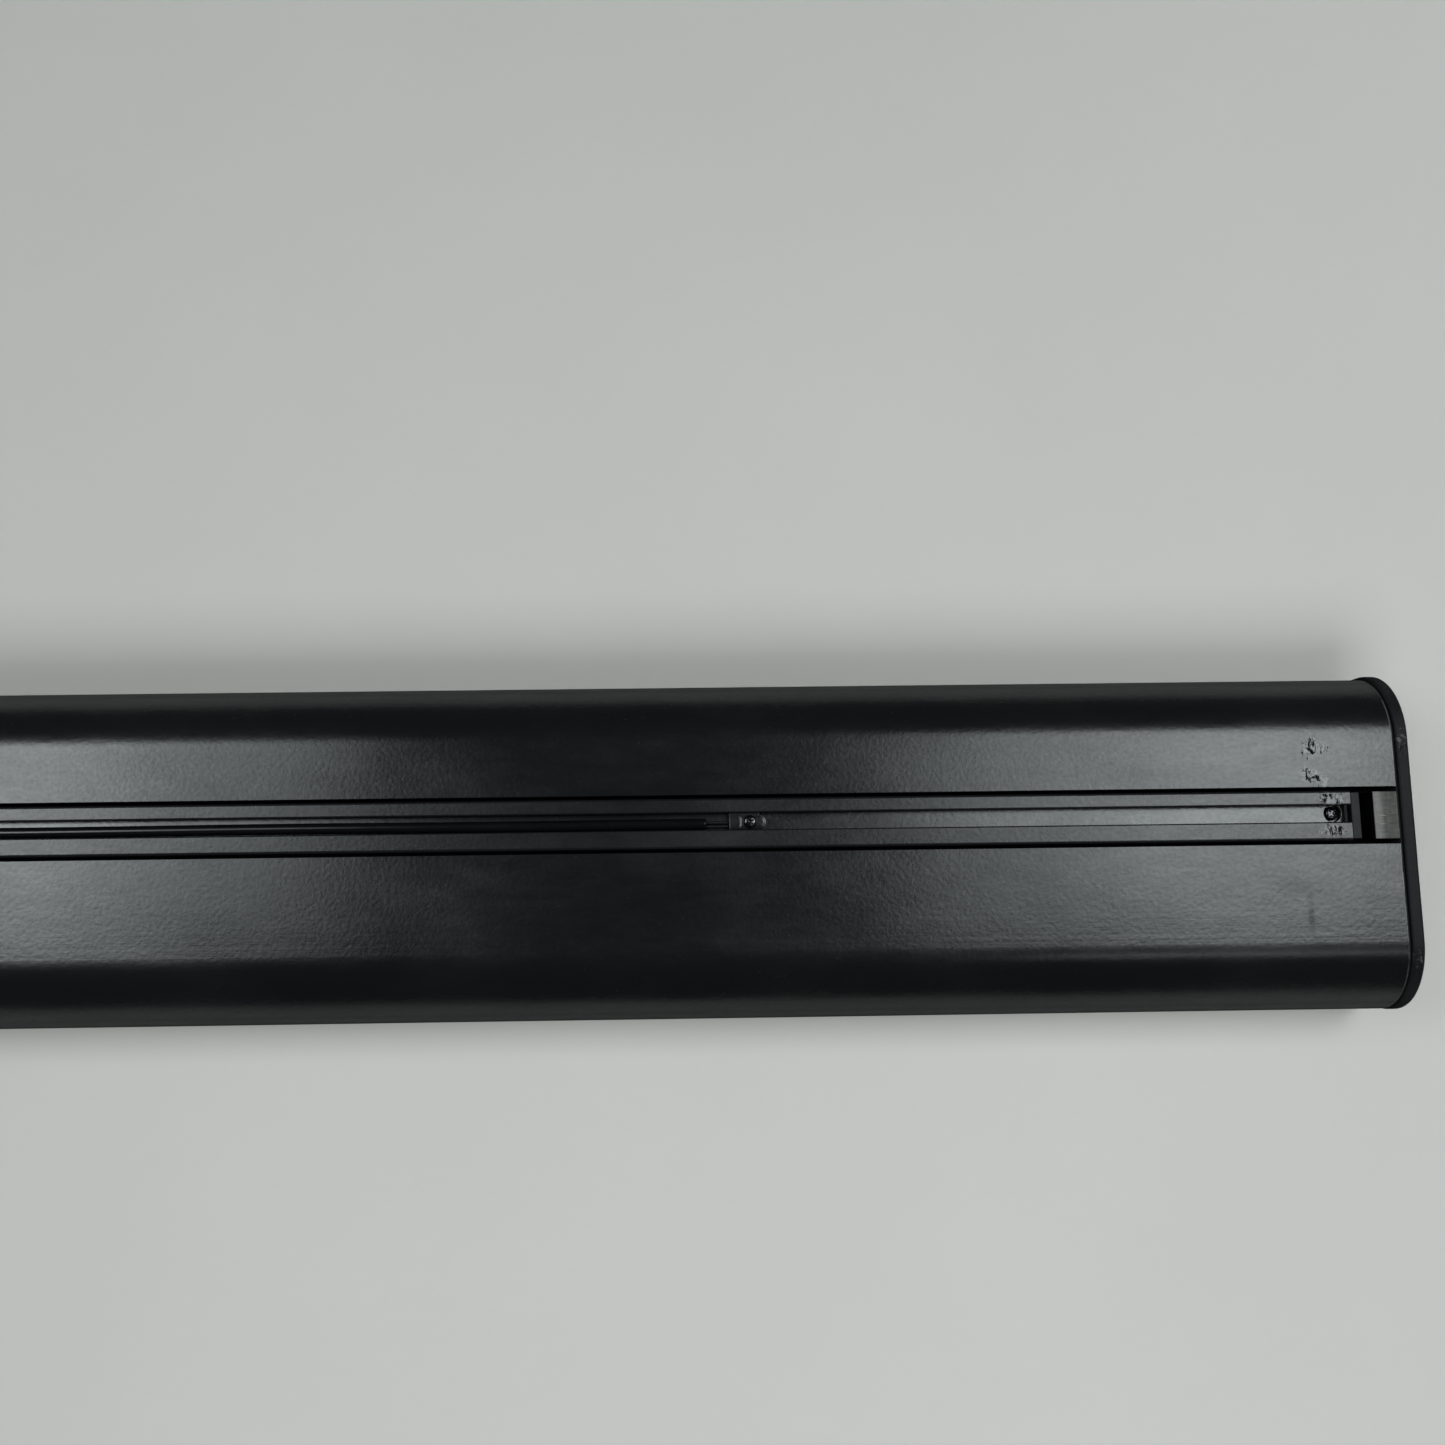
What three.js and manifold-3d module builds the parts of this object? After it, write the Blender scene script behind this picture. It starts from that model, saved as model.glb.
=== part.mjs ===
// LED strip batten: a black rounded extrusion that shines down through an opal diffuser.
// Its back carries an offset groove with a slotted rail, and a lead lies in the slot up to a sliding clamp.
// Units are millimetres. X runs along the batten, Y across it and Z up, with the back on top.
// The origin is under the middle of the batten, on the plane of the diffuser's face.

import * as THREE from 'three';
import { mergeVertices } from 'three/addons/utils/BufferGeometryUtils.js';
import Module from 'manifold-3d';

const wasm = await Module();
wasm.setup();

// Driving dimensions of the body
const BODY_LENGTH = 1050.5;
const BODY_WIDTH = 145;
const TOP = 58;
const WALL = 2.4;
const SHOULDER_RADIUS = 29.5;
const FOOT_RADIUS = 11;
const FOOT_LEVEL = 1;
const LIP_REACH = 3;
const GAP = 0.3;

// Back groove and slotted rail, measured from the groove's own centre line
const GROOVE_Y = 10;
const GROOVE_WIDTH = 24;
const GROOVE_DEPTH = 12;
const RAIL_WIDTH = 21.4;
const RAIL_ROUND = 1.3;
const RAIL_LEG = 3.2;
const RAIL_HOLLOW = 2;
const SLOT_Y = GROOVE_Y + 0.86;
const SLOT_WIDTH = 7.1;
const SLOT_ROUND = 0.68;
const SLOT_DEPTH = 6.4;
const RAIL_LIP = 2.2;
const UNDERCUT_WIDTH = 12.4;

// Stations along the rail
const FIXING_PITCH = 250;
const FIXING_Y = GROOVE_Y + 1.3;
const RAIL_END_MARGIN = 20;
const STOP_LENGTH = 3.7;
const STOP_WIDTH = 19.6;
const END_BLOCK_LENGTH = 10.3;
const END_BLOCK_WIDTH = 20;
const END_BLOCK_MARGIN = 0.15;
const ENTRY_BLOCK_LENGTH = 64;
const ENTRY_BORE_DEPTH = 46;

// Lead and its clamp
const LEAD_RADIUS = 2.3;
const LEAD_Y = GROOVE_Y;
const LEAD_END = 231.6;
const LEAD_TAIL = 34;
const CORE_RADIUS = 0.65;
const CORE_SPACING = 1.6;
const CORE_Y = GROOVE_Y - 0.3;
const CLAMP_START = 241.3;
const CLAMP_LENGTH = 15.6;
const CLAMP_PLATE_LENGTH = 11.6;
const CLAMP_SCREW_X = 250;
const CLAMP_SHIFT = 0.4;

// End caps
const CAP_THICKNESS = 5.4;
const CAP_OVERHANG = 0.9;
const CAP_SHIFT = 0.6;
const GASKET_THICKNESS = 0.5;
const SEAM_GAP = 0.2;

// Screws
const SCREW_SIZES = {
  fixing: { head: 3, height: 1.8, shank: 1.5, length: 9.2 },
  clamp: { head: 2.8, height: 1.9, shank: 1.4, length: 6.2 },
  cap: { head: 2.9, height: 1.8, shank: 1.4, length: 18 },
  driver: { head: 2.6, height: 1.6, shank: 1.2, length: 4.5 },
};
const CLEARANCE = 0.3;

// Light engine
const TRAY_LEVEL = 21.8;
const TRAY_THICKNESS = 1.5;
const BOARD_LENGTH = 508;
const BOARD_WIDTH = 24;
const BOARD_THICKNESS = 1.2;
const BOARD_ROW_Y = 22;
const LEDS_PER_BOARD = 24;
const LED_SIZE = 5;
const LED_HEIGHT = 1.2;
const DIFFUSER = { thickness: 2, flange: 4.3, rim: 1.8, chamfer: 0.8 };
const DRIVER_SIZE = { length: 230, width: 42, height: 24 };
const DRIVER_START = -380;
const DRIVER_Y = -29;
const DRIVER_LUG = 12;
const LUG_THICKNESS = 1.5;
const WIRE_LEVEL = 29.3;
const LEAD_OUT = 6;
const INPUT_LEAD_RADIUS = 1.8;
const OUTPUT_LEAD_RADIUS = 1.6;
const TERMINAL = { start: -452, end: -424, halfWidth: 11, rise: 6, pitch: 5.5, well: 1.9, depth: 3 };
const TRAY_UPSTAND = 4;
const OUTLET_X = -110;
const GROMMET = { bore: 2.4, neck: 4.2, collar: 6, collarHeight: 1.2 };

// Values worked out from the driving dimensions
const halfLength = BODY_LENGTH / 2;
const halfWidth = BODY_WIDTH / 2;
const grooveFloor = TOP - GROOVE_DEPTH;
const railBottom = grooveFloor + GAP;
const slotFloor = TOP - SLOT_DEPTH;
const railLeft = -halfLength + RAIL_END_MARGIN - STOP_LENGTH - 0.2 + ENTRY_BLOCK_LENGTH + GAP;
const railRight = halfLength - RAIL_END_MARGIN;
const entryLeft = railLeft - GAP - ENTRY_BLOCK_LENGTH;
const leadLevel = slotFloor + GAP + LEAD_RADIUS;
const entryDropX = railLeft - GAP - ENTRY_BORE_DEPTH + LEAD_RADIUS;
const fixingStations = [2, 1, -1].map((step) => step * FIXING_PITCH);
const entryScrewX = -2 * FIXING_PITCH;
const trayTop = TRAY_LEVEL + TRAY_THICKNESS;
const portPlaces = [
  { y: 40, z: TOP - WALL - 3 },
  { y: -40, z: TOP - WALL - 3 },
  { y: halfWidth - WALL - 3, z: 13 },
  { y: WALL + 3 - halfWidth, z: 13 },
];
const PORT_RADIUS = 4;

// Materials of the pieces
const finish = (color, roughness, metalness) =>
  new THREE.MeshStandardMaterial({ color, roughness, metalness });
const FINISHES = {
  powderBlack: () => finish(0x17191b, 0.42, 0.0),
  railBlack: () => finish(0x2b2d2e, 0.38, 0.6),
  bareMetal: () => finish(0x8a8b88, 0.45, 0.9),
  screwBlack: () => finish(0x121314, 0.3, 0.8),
  steel: () => finish(0x9a9c9e, 0.35, 1.0),
  rubber: () => finish(0x0c0c0d, 0.8, 0.0),
  cable: () => finish(0x1a1b1d, 0.5, 0.0),
  opal: () => finish(0xf2f3f0, 0.45, 0.0),
  sheetMetal: () => finish(0xc3c6c8, 0.4, 0.9),
  boardWhite: () => finish(0xe9ebe6, 0.5, 0.0),
  driverGrey: () => finish(0xb4b7b8, 0.5, 0.1),
  terminalPlastic: () => finish(0xd9d8d0, 0.6, 0.0),
};

const batten = new THREE.Group();

// Solids: closed geometry in, manifold out, and back again
function toSolid(geometry) {
  const bare = geometry.clone();
  bare.deleteAttribute('normal');
  bare.deleteAttribute('uv');
  const merged = mergeVertices(bare, 1e-4);
  const mesh = new wasm.Mesh({
    numProp: 3,
    vertProperties: new Float32Array(merged.attributes.position.array),
    triVerts: new Uint32Array(merged.index.array),
  });
  return new wasm.Manifold(mesh);
}

function toGeometry(solid) {
  const mesh = solid.getMesh();
  const geometry = new THREE.BufferGeometry();
  geometry.setAttribute('position', new THREE.BufferAttribute(mesh.vertProperties, 3));
  geometry.setIndex(new THREE.BufferAttribute(mesh.triVerts, 1));
  return geometry;
}

function cut(base, ...tools) {
  return tools.reduce((solid, tool) => solid.subtract(tool), base);
}

function join(base, ...others) {
  return others.reduce((solid, other) => solid.add(other), base);
}

function addPiece(name, shape, look) {
  const geometry = shape.isBufferGeometry ? shape : toGeometry(shape);
  geometry.computeVertexNormals();
  const mesh = new THREE.Mesh(geometry, look);
  mesh.name = name;
  batten.add(mesh);
}

// Shapes are drawn across the batten, as (y, z), and run along X
const alongX = new THREE.Matrix4().makeBasis(
  new THREE.Vector3(0, 1, 0),
  new THREE.Vector3(0, 0, 1),
  new THREE.Vector3(1, 0, 0),
);

function runAlong(shape, start, end, curveSegments = 7) {
  const options = { depth: end - start, bevelEnabled: false, curveSegments };
  const geometry = new THREE.ExtrudeGeometry(shape, options);
  geometry.applyMatrix4(alongX);
  geometry.translate(start, 0, 0);
  return geometry;
}

// Points round a corner of the profile, from one direction to another, in degrees
function bend(y, z, radius, from, to) {
  const steps = 3;
  return Array.from({ length: steps + 1 }, (_, index) => {
    const angle = ((from + ((to - from) * index) / steps) * Math.PI) / 180;
    return [y + radius * Math.cos(angle), z + radius * Math.sin(angle)];
  });
}

function polygon(points) {
  return new THREE.Shape(points.map(([y, z]) => new THREE.Vector2(y, z)));
}

function box(x, y, z, length, width, height) {
  const geometry = new THREE.BoxGeometry(length, width, height);
  geometry.translate(x, y, z);
  return geometry;
}

function boxBetween([x0, y0, z0], [x1, y1, z1]) {
  return box((x0 + x1) / 2, (y0 + y1) / 2, (z0 + z1) / 2, x1 - x0, y1 - y0, z1 - z0);
}

function uprightCylinder(x, y, low, high, radius, sides = 20) {
  const geometry = new THREE.CylinderGeometry(radius, radius, high - low, sides);
  geometry.rotateX(Math.PI / 2);
  geometry.translate(x, y, (low + high) / 2);
  return geometry;
}

function levelCylinder(start, end, y, z, radius, sides = 16) {
  const geometry = new THREE.CylinderGeometry(radius, radius, end - start, sides);
  geometry.rotateZ(-Math.PI / 2);
  geometry.translate((start + end) / 2, y, z);
  return geometry;
}

function wire(points, radius, steps) {
  const path = new THREE.CatmullRomCurve3(points.map((point) => new THREE.Vector3(...point)));
  const section = new THREE.Shape();
  section.absarc(0, 0, radius, 0, 2 * Math.PI);
  return new THREE.ExtrudeGeometry(section, { steps, extrudePath: path, curveSegments: 5 });
}

// A round-headed screw with a cross recess, standing up with its seat at the origin
function screwSolid({ head, height, shank, length }) {
  const dome = new THREE.LatheGeometry(
    [
      new THREE.Vector2(0, 0),
      new THREE.Vector2(head, 0),
      new THREE.Vector2(head, height * 0.45),
      new THREE.Vector2(head * 0.86, height * 0.8),
      new THREE.Vector2(head * 0.55, height),
      new THREE.Vector2(0, height),
    ],
    14,
  );
  dome.rotateX(Math.PI / 2);
  const recessDepth = height * 0.55;
  const arms = [0, 1].map((turn) => {
    const arm = box(0, 0, height, head * 1.25, head * 0.24, recessDepth * 2);
    arm.rotateZ((turn * Math.PI) / 2 + 0.4);
    return toSolid(arm);
  });
  const stem = toSolid(uprightCylinder(0, 0, -length, height * 0.2, shank, 12));
  return cut(join(toSolid(dome), stem), ...arms);
}

// The outer outline of the body, grown by a margin for the caps
function outerOutline(margin) {
  const side = halfWidth + margin;
  const shoulder = { y: halfWidth - SHOULDER_RADIUS, z: TOP - SHOULDER_RADIUS };
  const foot = { y: halfWidth - FOOT_RADIUS, z: FOOT_LEVEL + FOOT_RADIUS };
  const shape = new THREE.Shape();
  shape.moveTo(-foot.y, FOOT_LEVEL - margin);
  shape.lineTo(foot.y, FOOT_LEVEL - margin);
  shape.absarc(foot.y, foot.z, FOOT_RADIUS + margin, -Math.PI / 2, 0, false);
  shape.lineTo(side, shoulder.z);
  shape.absarc(shoulder.y, shoulder.z, SHOULDER_RADIUS + margin, 0, Math.PI / 2, false);
  shape.lineTo(-shoulder.y, TOP + margin);
  shape.absarc(-shoulder.y, shoulder.z, SHOULDER_RADIUS + margin, Math.PI / 2, Math.PI, false);
  shape.lineTo(-side, foot.z);
  shape.absarc(-foot.y, foot.z, FOOT_RADIUS + margin, Math.PI, 1.5 * Math.PI, false);
  return shape;
}

// Housing: the wall, the groove trough, ledges for the tray and ports for the cap screws
function makeHousing() {
  const runOn = 1;
  const outer = toSolid(runAlong(outerOutline(0), -halfLength, halfLength));
  const inner = toSolid(runAlong(outerOutline(-WALL), -halfLength - runOn, halfLength + runOn));
  const mouthHalf = halfWidth - FOOT_RADIUS - LIP_REACH;
  const mouth = toSolid(
    boxBetween([-halfLength - runOn, -mouthHalf, -runOn], [halfLength + runOn, mouthHalf, 2 * WALL]),
  );
  const troughHalf = GROOVE_WIDTH / 2 + WALL;
  const trough = toSolid(
    boxBetween(
      [-halfLength, GROOVE_Y - troughHalf, grooveFloor - WALL],
      [halfLength, GROOVE_Y + troughHalf, TOP - WALL / 2],
    ),
  );
  const groove = toSolid(
    boxBetween(
      [-halfLength - runOn, GROOVE_Y - GROOVE_WIDTH / 2, grooveFloor],
      [halfLength + runOn, GROOVE_Y + GROOVE_WIDTH / 2, TOP + runOn],
    ),
  );
  const ledges = [-1, 1].map((side) => {
    const root = side * (halfWidth - WALL / 2);
    const edge = side * (halfWidth - WALL - 3);
    const low = Math.min(root, edge);
    const high = Math.max(root, edge);
    return toSolid(
      boxBetween([-halfLength, low, TRAY_LEVEL - 1.8], [halfLength, high, TRAY_LEVEL - GAP]),
    );
  });
  const ports = portPlaces.map(({ y, z }) =>
    toSolid(levelCylinder(-halfLength, halfLength, y, z, PORT_RADIUS)),
  );
  const bores = portPlaces.map(({ y, z }) =>
    toSolid(
      levelCylinder(
        -halfLength - runOn,
        halfLength + runOn,
        y,
        z,
        SCREW_SIZES.cap.shank + CLEARANCE,
        12,
      ),
    ),
  );
  const holes = [...fixingStations, entryScrewX].map((x) =>
    toSolid(
      uprightCylinder(
        x,
        FIXING_Y,
        grooveFloor - WALL - runOn,
        grooveFloor + runOn,
        SCREW_SIZES.fixing.shank + CLEARANCE,
        12,
      ),
    ),
  );
  const leadHole = toSolid(
    uprightCylinder(
      entryDropX,
      LEAD_Y,
      grooveFloor - WALL - runOn,
      grooveFloor + runOn,
      LEAD_RADIUS + 2 * CLEARANCE,
    ),
  );
  const shell = cut(outer, inner, mouth);
  const filled = join(shell, trough, ...ledges, ...ports);
  const clipped = filled.intersect(outer);
  addPiece('housing', cut(clipped, groove, ...bores, ...holes, leadHole), FINISHES.powderBlack());
}

// Opal diffuser: a shallow tray that snaps over the housing's two lips
function makeDiffuser() {
  const face = halfWidth - FOOT_RADIUS - LIP_REACH - GAP;
  const { thickness, chamfer } = DIFFUSER;
  const flange = face + DIFFUSER.flange;
  const inside = face - thickness;
  const lipTop = FOOT_LEVEL + WALL + GAP;
  const rim = lipTop + DIFFUSER.rim;
  const shape = polygon([
    [-face + chamfer, 0],
    [face - chamfer, 0],
    [face, chamfer],
    [face, lipTop],
    [flange, lipTop],
    [flange, rim],
    [inside, rim],
    [inside, thickness],
    [-inside, thickness],
    [-inside, rim],
    [-flange, rim],
    [-flange, lipTop],
    [-face, lipTop],
    [-face, chamfer],
  ]);
  addPiece('diffuser', runAlong(shape, GAP - halfLength, halfLength - GAP), FINISHES.opal());
}

// Slotted rail: two lips over an undercut slot, standing on two legs in the groove
function makeRail() {
  const half = RAIL_WIDTH / 2;
  const hollow = half - RAIL_LEG;
  const hollowTop = railBottom + RAIL_HOLLOW;
  const lipBottom = TOP - RAIL_LIP;
  const shape = polygon([
    [GROOVE_Y - half, railBottom],
    [GROOVE_Y - hollow, railBottom],
    [GROOVE_Y - hollow, hollowTop],
    [GROOVE_Y + hollow, hollowTop],
    [GROOVE_Y + hollow, railBottom],
    [GROOVE_Y + half, railBottom],
    ...bend(GROOVE_Y + half - RAIL_ROUND, TOP - RAIL_ROUND, RAIL_ROUND, 0, 90),
    ...bend(SLOT_Y + SLOT_WIDTH / 2 + SLOT_ROUND, TOP - SLOT_ROUND, SLOT_ROUND, 90, 180),
    [SLOT_Y + SLOT_WIDTH / 2, lipBottom],
    [SLOT_Y + UNDERCUT_WIDTH / 2, lipBottom],
    [SLOT_Y + UNDERCUT_WIDTH / 2, slotFloor],
    [SLOT_Y - UNDERCUT_WIDTH / 2, slotFloor],
    [SLOT_Y - UNDERCUT_WIDTH / 2, lipBottom],
    [SLOT_Y - SLOT_WIDTH / 2, lipBottom],
    ...bend(SLOT_Y - SLOT_WIDTH / 2 - SLOT_ROUND, TOP - SLOT_ROUND, SLOT_ROUND, 0, 90),
    ...bend(GROOVE_Y - half + RAIL_ROUND, TOP - RAIL_ROUND, RAIL_ROUND, 90, 180),
  ]);
  const { head, height, shank } = SCREW_SIZES.fixing;
  const recessFloor = slotFloor - height - 2 * CLEARANCE;
  const sinks = fixingStations.flatMap((x) => [
    toSolid(uprightCylinder(x, FIXING_Y, recessFloor, slotFloor + 1, head + 2 * CLEARANCE)),
    toSolid(uprightCylinder(x, FIXING_Y, railBottom, slotFloor, shank + CLEARANCE, 12)),
  ]);
  addPiece('slot_rail', cut(toSolid(runAlong(shape, railLeft, railRight)), ...sinks), FINISHES.railBlack());
  const stop = boxBetween(
    [railRight + 0.2, GROOVE_Y - STOP_WIDTH / 2, railBottom],
    [railRight + 0.2 + STOP_LENGTH, GROOVE_Y + STOP_WIDTH / 2, TOP - 0.5],
  );
  addPiece('rail_stop', stop, FINISHES.railBlack());
}

// Fixing screws sit sunk in the slot's floor and bite into the trough of the housing
function makeFixingScrews() {
  const { height } = SCREW_SIZES.fixing;
  const seat = slotFloor - height - CLEARANCE;
  fixingStations.forEach((x, index) => {
    const solid = screwSolid(SCREW_SIZES.fixing).translate([x, FIXING_Y, seat]);
    addPiece(`rail_screw_${index + 1}`, solid, FINISHES.screwBlack());
  });
  const entry = screwSolid(SCREW_SIZES.fixing).translate([entryScrewX, FIXING_Y, seat]);
  addPiece('entry_block_screw', entry, FINISHES.screwBlack());
}

// Entry block: the lead slides in its long bore, which turns down into the housing
function makeEntryBlock() {
  const half = RAIL_WIDTH / 2;
  const right = entryLeft + ENTRY_BLOCK_LENGTH;
  const boreRadius = LEAD_RADIUS + CLEARANCE;
  const { head, height, shank } = SCREW_SIZES.fixing;
  const body = toSolid(
    boxBetween([entryLeft, GROOVE_Y - half, railBottom], [right, GROOVE_Y + half, TOP]),
  );
  const bore = toSolid(
    levelCylinder(right - ENTRY_BORE_DEPTH, right + 1, LEAD_Y, leadLevel, boreRadius, 20),
  );
  const drop = toSolid(
    uprightCylinder(entryDropX, LEAD_Y, railBottom - 1, leadLevel, boreRadius, 20),
  );
  const recess = toSolid(
    uprightCylinder(
      entryScrewX,
      FIXING_Y,
      slotFloor - height - 2 * CLEARANCE,
      TOP + 1,
      head + 2 * CLEARANCE,
    ),
  );
  const hole = toSolid(
    uprightCylinder(entryScrewX, FIXING_Y, railBottom - 1, slotFloor, shank + CLEARANCE, 12),
  );
  addPiece('lead_entry_block', cut(body, bore, drop, recess, hole), FINISHES.rubber());
}

// Bare metal blocks that fill the groove beside each cap
function makeEndBlocks() {
  const outerEnd = halfLength - END_BLOCK_MARGIN;
  const innerEnd = outerEnd - END_BLOCK_LENGTH;
  [-1, 1].forEach((side) => {
    const ends = [side * innerEnd, side * outerEnd];
    const block = boxBetween(
      [Math.min(...ends), GROOVE_Y - END_BLOCK_WIDTH / 2, railBottom],
      [Math.max(...ends), GROOVE_Y + END_BLOCK_WIDTH / 2, TOP],
    );
    addPiece(side < 0 ? 'left_end_block' : 'right_end_block', block, FINISHES.bareMetal());
  });
}

// End caps with their gaskets and four screws each; the caps stand a little proud on the +Y side
function makeCaps() {
  const { head, height, shank } = SCREW_SIZES.cap;
  const sinkDepth = height + CLEARANCE;
  const gasketStart = halfLength + SEAM_GAP;
  const capStart = gasketStart + GASKET_THICKNESS + SEAM_GAP;
  const capEnd = capStart + CAP_THICKNESS;
  const gasketInset = -0.6;
  const gasketWidth = 3.4;
  [-1, 1].forEach((side) => {
    const label = side < 0 ? 'left' : 'right';
    const span = (from, to) => [Math.min(side * from, side * to), Math.max(side * from, side * to)];
    const plate = toSolid(runAlong(outerOutline(CAP_OVERHANG), ...span(capStart, capEnd), 8));
    const through = portPlaces.map(({ y, z }) =>
      toSolid(levelCylinder(...span(capStart - 1, capEnd + 1), y, z, shank + CLEARANCE, 12)),
    );
    const sinks = portPlaces.map(({ y, z }) =>
      toSolid(levelCylinder(...span(capEnd - sinkDepth, capEnd + 1), y, z, head + CLEARANCE, 20)),
    );
    const shifted = plate.translate([0, CAP_SHIFT, 0]);
    addPiece(`${label}_cap`, cut(shifted, ...through, ...sinks), FINISHES.powderBlack());
    const [gasketLow, gasketHigh] = span(gasketStart, gasketStart + GASKET_THICKNESS);
    const rim = toSolid(runAlong(outerOutline(gasketInset), gasketLow, gasketHigh));
    const window = toSolid(
      runAlong(outerOutline(gasketInset - gasketWidth), gasketLow - 1, gasketHigh + 1),
    );
    addPiece(`${label}_gasket`, cut(rim, window, ...through), FINISHES.rubber());
    portPlaces.forEach(({ y, z }, index) => {
      const solid = screwSolid(SCREW_SIZES.cap)
        .rotate([0, side * 90, 0])
        .translate([side * (capEnd - sinkDepth + CLEARANCE / 2), y, z]);
      addPiece(`${label}_cap_screw_${index + 1}`, solid, FINISHES.screwBlack());
    });
  });
}

// The clamp slides in the slot: wings under the lips, a rounded nose, a plate on top and one screw.
// Its neck leaves more room on the slot's +Y side.
function makeClamp() {
  const end = CLAMP_START + CLAMP_LENGTH;
  const neckY = SLOT_Y - CLAMP_SHIFT;
  const neckHalf = SLOT_WIDTH / 2 - CLEARANCE - CLAMP_SHIFT;
  const wingHalf = UNDERCUT_WIDTH / 2 - CLEARANCE;
  const wingLow = slotFloor + CLEARANCE;
  const wingHigh = TOP - RAIL_LIP - CLEARANCE;
  const blockTop = TOP - 1.1;
  const section = polygon([
    [SLOT_Y - wingHalf, wingLow],
    [SLOT_Y + wingHalf, wingLow],
    [SLOT_Y + wingHalf, wingHigh],
    [neckY + neckHalf, wingHigh],
    [neckY + neckHalf, blockTop],
    [neckY - neckHalf, blockTop],
    [neckY - neckHalf, wingHigh],
    [SLOT_Y - wingHalf, wingHigh],
  ]);
  const shankHole = SCREW_SIZES.clamp.shank + CLEARANCE;
  const coreBores = [-0.5, 0.5].map((place) =>
    toSolid(
      levelCylinder(
        CLAMP_START - 1,
        CLAMP_START + 6,
        CORE_Y + place * CORE_SPACING,
        leadLevel,
        CORE_RADIUS + 0.1,
        12,
      ),
    ),
  );
  const screwHole = toSolid(
    uprightCylinder(CLAMP_SCREW_X, neckY, wingLow - 1, TOP + 2, shankHole, 12),
  );
  const nose = end - neckHalf;
  const winged = toSolid(runAlong(section, CLAMP_START, nose));
  const blockNose = toSolid(uprightCylinder(nose, neckY, wingLow, blockTop, neckHalf, 28));
  const block = cut(join(winged, blockNose), screwHole, ...coreBores);
  addPiece('clamp_block', block, FINISHES.powderBlack());

  const plateLow = blockTop + 0.2;
  const plateHigh = plateLow + 1;
  const bar = toSolid(
    boxBetween(
      [end - CLAMP_PLATE_LENGTH, neckY - neckHalf, plateLow],
      [nose, neckY + neckHalf, plateHigh],
    ),
  );
  const round = toSolid(uprightCylinder(nose, neckY, plateLow, plateHigh, neckHalf, 28));
  addPiece('clamp_plate', cut(join(bar, round), screwHole), FINISHES.railBlack());
  const screw = screwSolid(SCREW_SIZES.clamp).translate([CLAMP_SCREW_X, neckY, plateHigh + 0.1]);
  addPiece('clamp_screw', screw, FINISHES.screwBlack());
}

// The lead lies on the slot's floor from the entry block to the clamp
function makeLead() {
  const tail = entryLeft + ENTRY_BLOCK_LENGTH - LEAD_TAIL;
  const sheath = levelCylinder(tail, LEAD_END, LEAD_Y, leadLevel, LEAD_RADIUS, 16);
  addPiece('supply_lead', sheath, FINISHES.cable());
  [-0.5, 0.5].forEach((place, index) => {
    const core = levelCylinder(
      LEAD_END + 0.2,
      CLAMP_START + 5,
      CORE_Y + place * CORE_SPACING,
      leadLevel,
      CORE_RADIUS,
      10,
    );
    addPiece(`lead_core_${index + 1}`, core, FINISHES.cable());
  });
}

// Tray that carries the light boards and, on its upper side, the driver
function makeTray() {
  const half = halfWidth - WALL - GAP;
  const plate = toSolid(
    boxBetween([GAP - halfLength, -half, TRAY_LEVEL], [halfLength - GAP, half, trayTop]),
  );
  const upstands = [-1, 1].map((side) => {
    const ends = [side * half, side * (half - TRAY_THICKNESS)];
    return toSolid(
      boxBetween(
        [GAP - halfLength, Math.min(...ends), TRAY_LEVEL],
        [halfLength - GAP, Math.max(...ends), TRAY_LEVEL + TRAY_UPSTAND],
      ),
    );
  });
  const outlet = toSolid(uprightCylinder(OUTLET_X, 0, TRAY_LEVEL - 1, trayTop + 1, GROMMET.neck + GAP));
  addPiece('led_tray', cut(join(plate, ...upstands), outlet), FINISHES.sheetMetal());
  const { bore, neck, collar, collarHeight } = GROMMET;
  const collarTop = trayTop + GAP + collarHeight;
  const grommet = new THREE.LatheGeometry(
    [
      new THREE.Vector2(bore, TRAY_LEVEL - 1),
      new THREE.Vector2(neck, TRAY_LEVEL - 1),
      new THREE.Vector2(neck, trayTop + GAP),
      new THREE.Vector2(collar, trayTop + GAP),
      new THREE.Vector2(collar, collarTop),
      new THREE.Vector2(bore, collarTop),
      new THREE.Vector2(bore, TRAY_LEVEL - 1),
    ],
    20,
  );
  grommet.rotateX(Math.PI / 2);
  grommet.translate(OUTLET_X, 0, 0);
  addPiece('tray_grommet', grommet, FINISHES.rubber());
}

function makeBoards() {
  const boardTop = TRAY_LEVEL - GAP;
  const boardLow = boardTop - BOARD_THICKNESS;
  const pitch = BOARD_LENGTH / LEDS_PER_BOARD;
  let number = 1;
  [-1, 1].forEach((row) => {
    [-1, 1].forEach((half) => {
      const start = half < 0 ? -BOARD_LENGTH - 1 : 1;
      const y = row * BOARD_ROW_Y;
      const board = toSolid(
        boxBetween(
          [start, y - BOARD_WIDTH / 2, boardLow],
          [start + BOARD_LENGTH, y + BOARD_WIDTH / 2, boardTop],
        ),
      );
      const leds = Array.from({ length: LEDS_PER_BOARD }, (_, index) =>
        toSolid(
          box(
            start + (index + 0.5) * pitch,
            y,
            boardLow - LED_HEIGHT / 2 + 0.1,
            LED_SIZE,
            LED_SIZE,
            LED_HEIGHT + 0.2,
          ),
        ),
      );
      addPiece(`led_board_${number}`, join(board, ...leds), FINISHES.boardWhite());
      number += 1;
    });
  });
}

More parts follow.
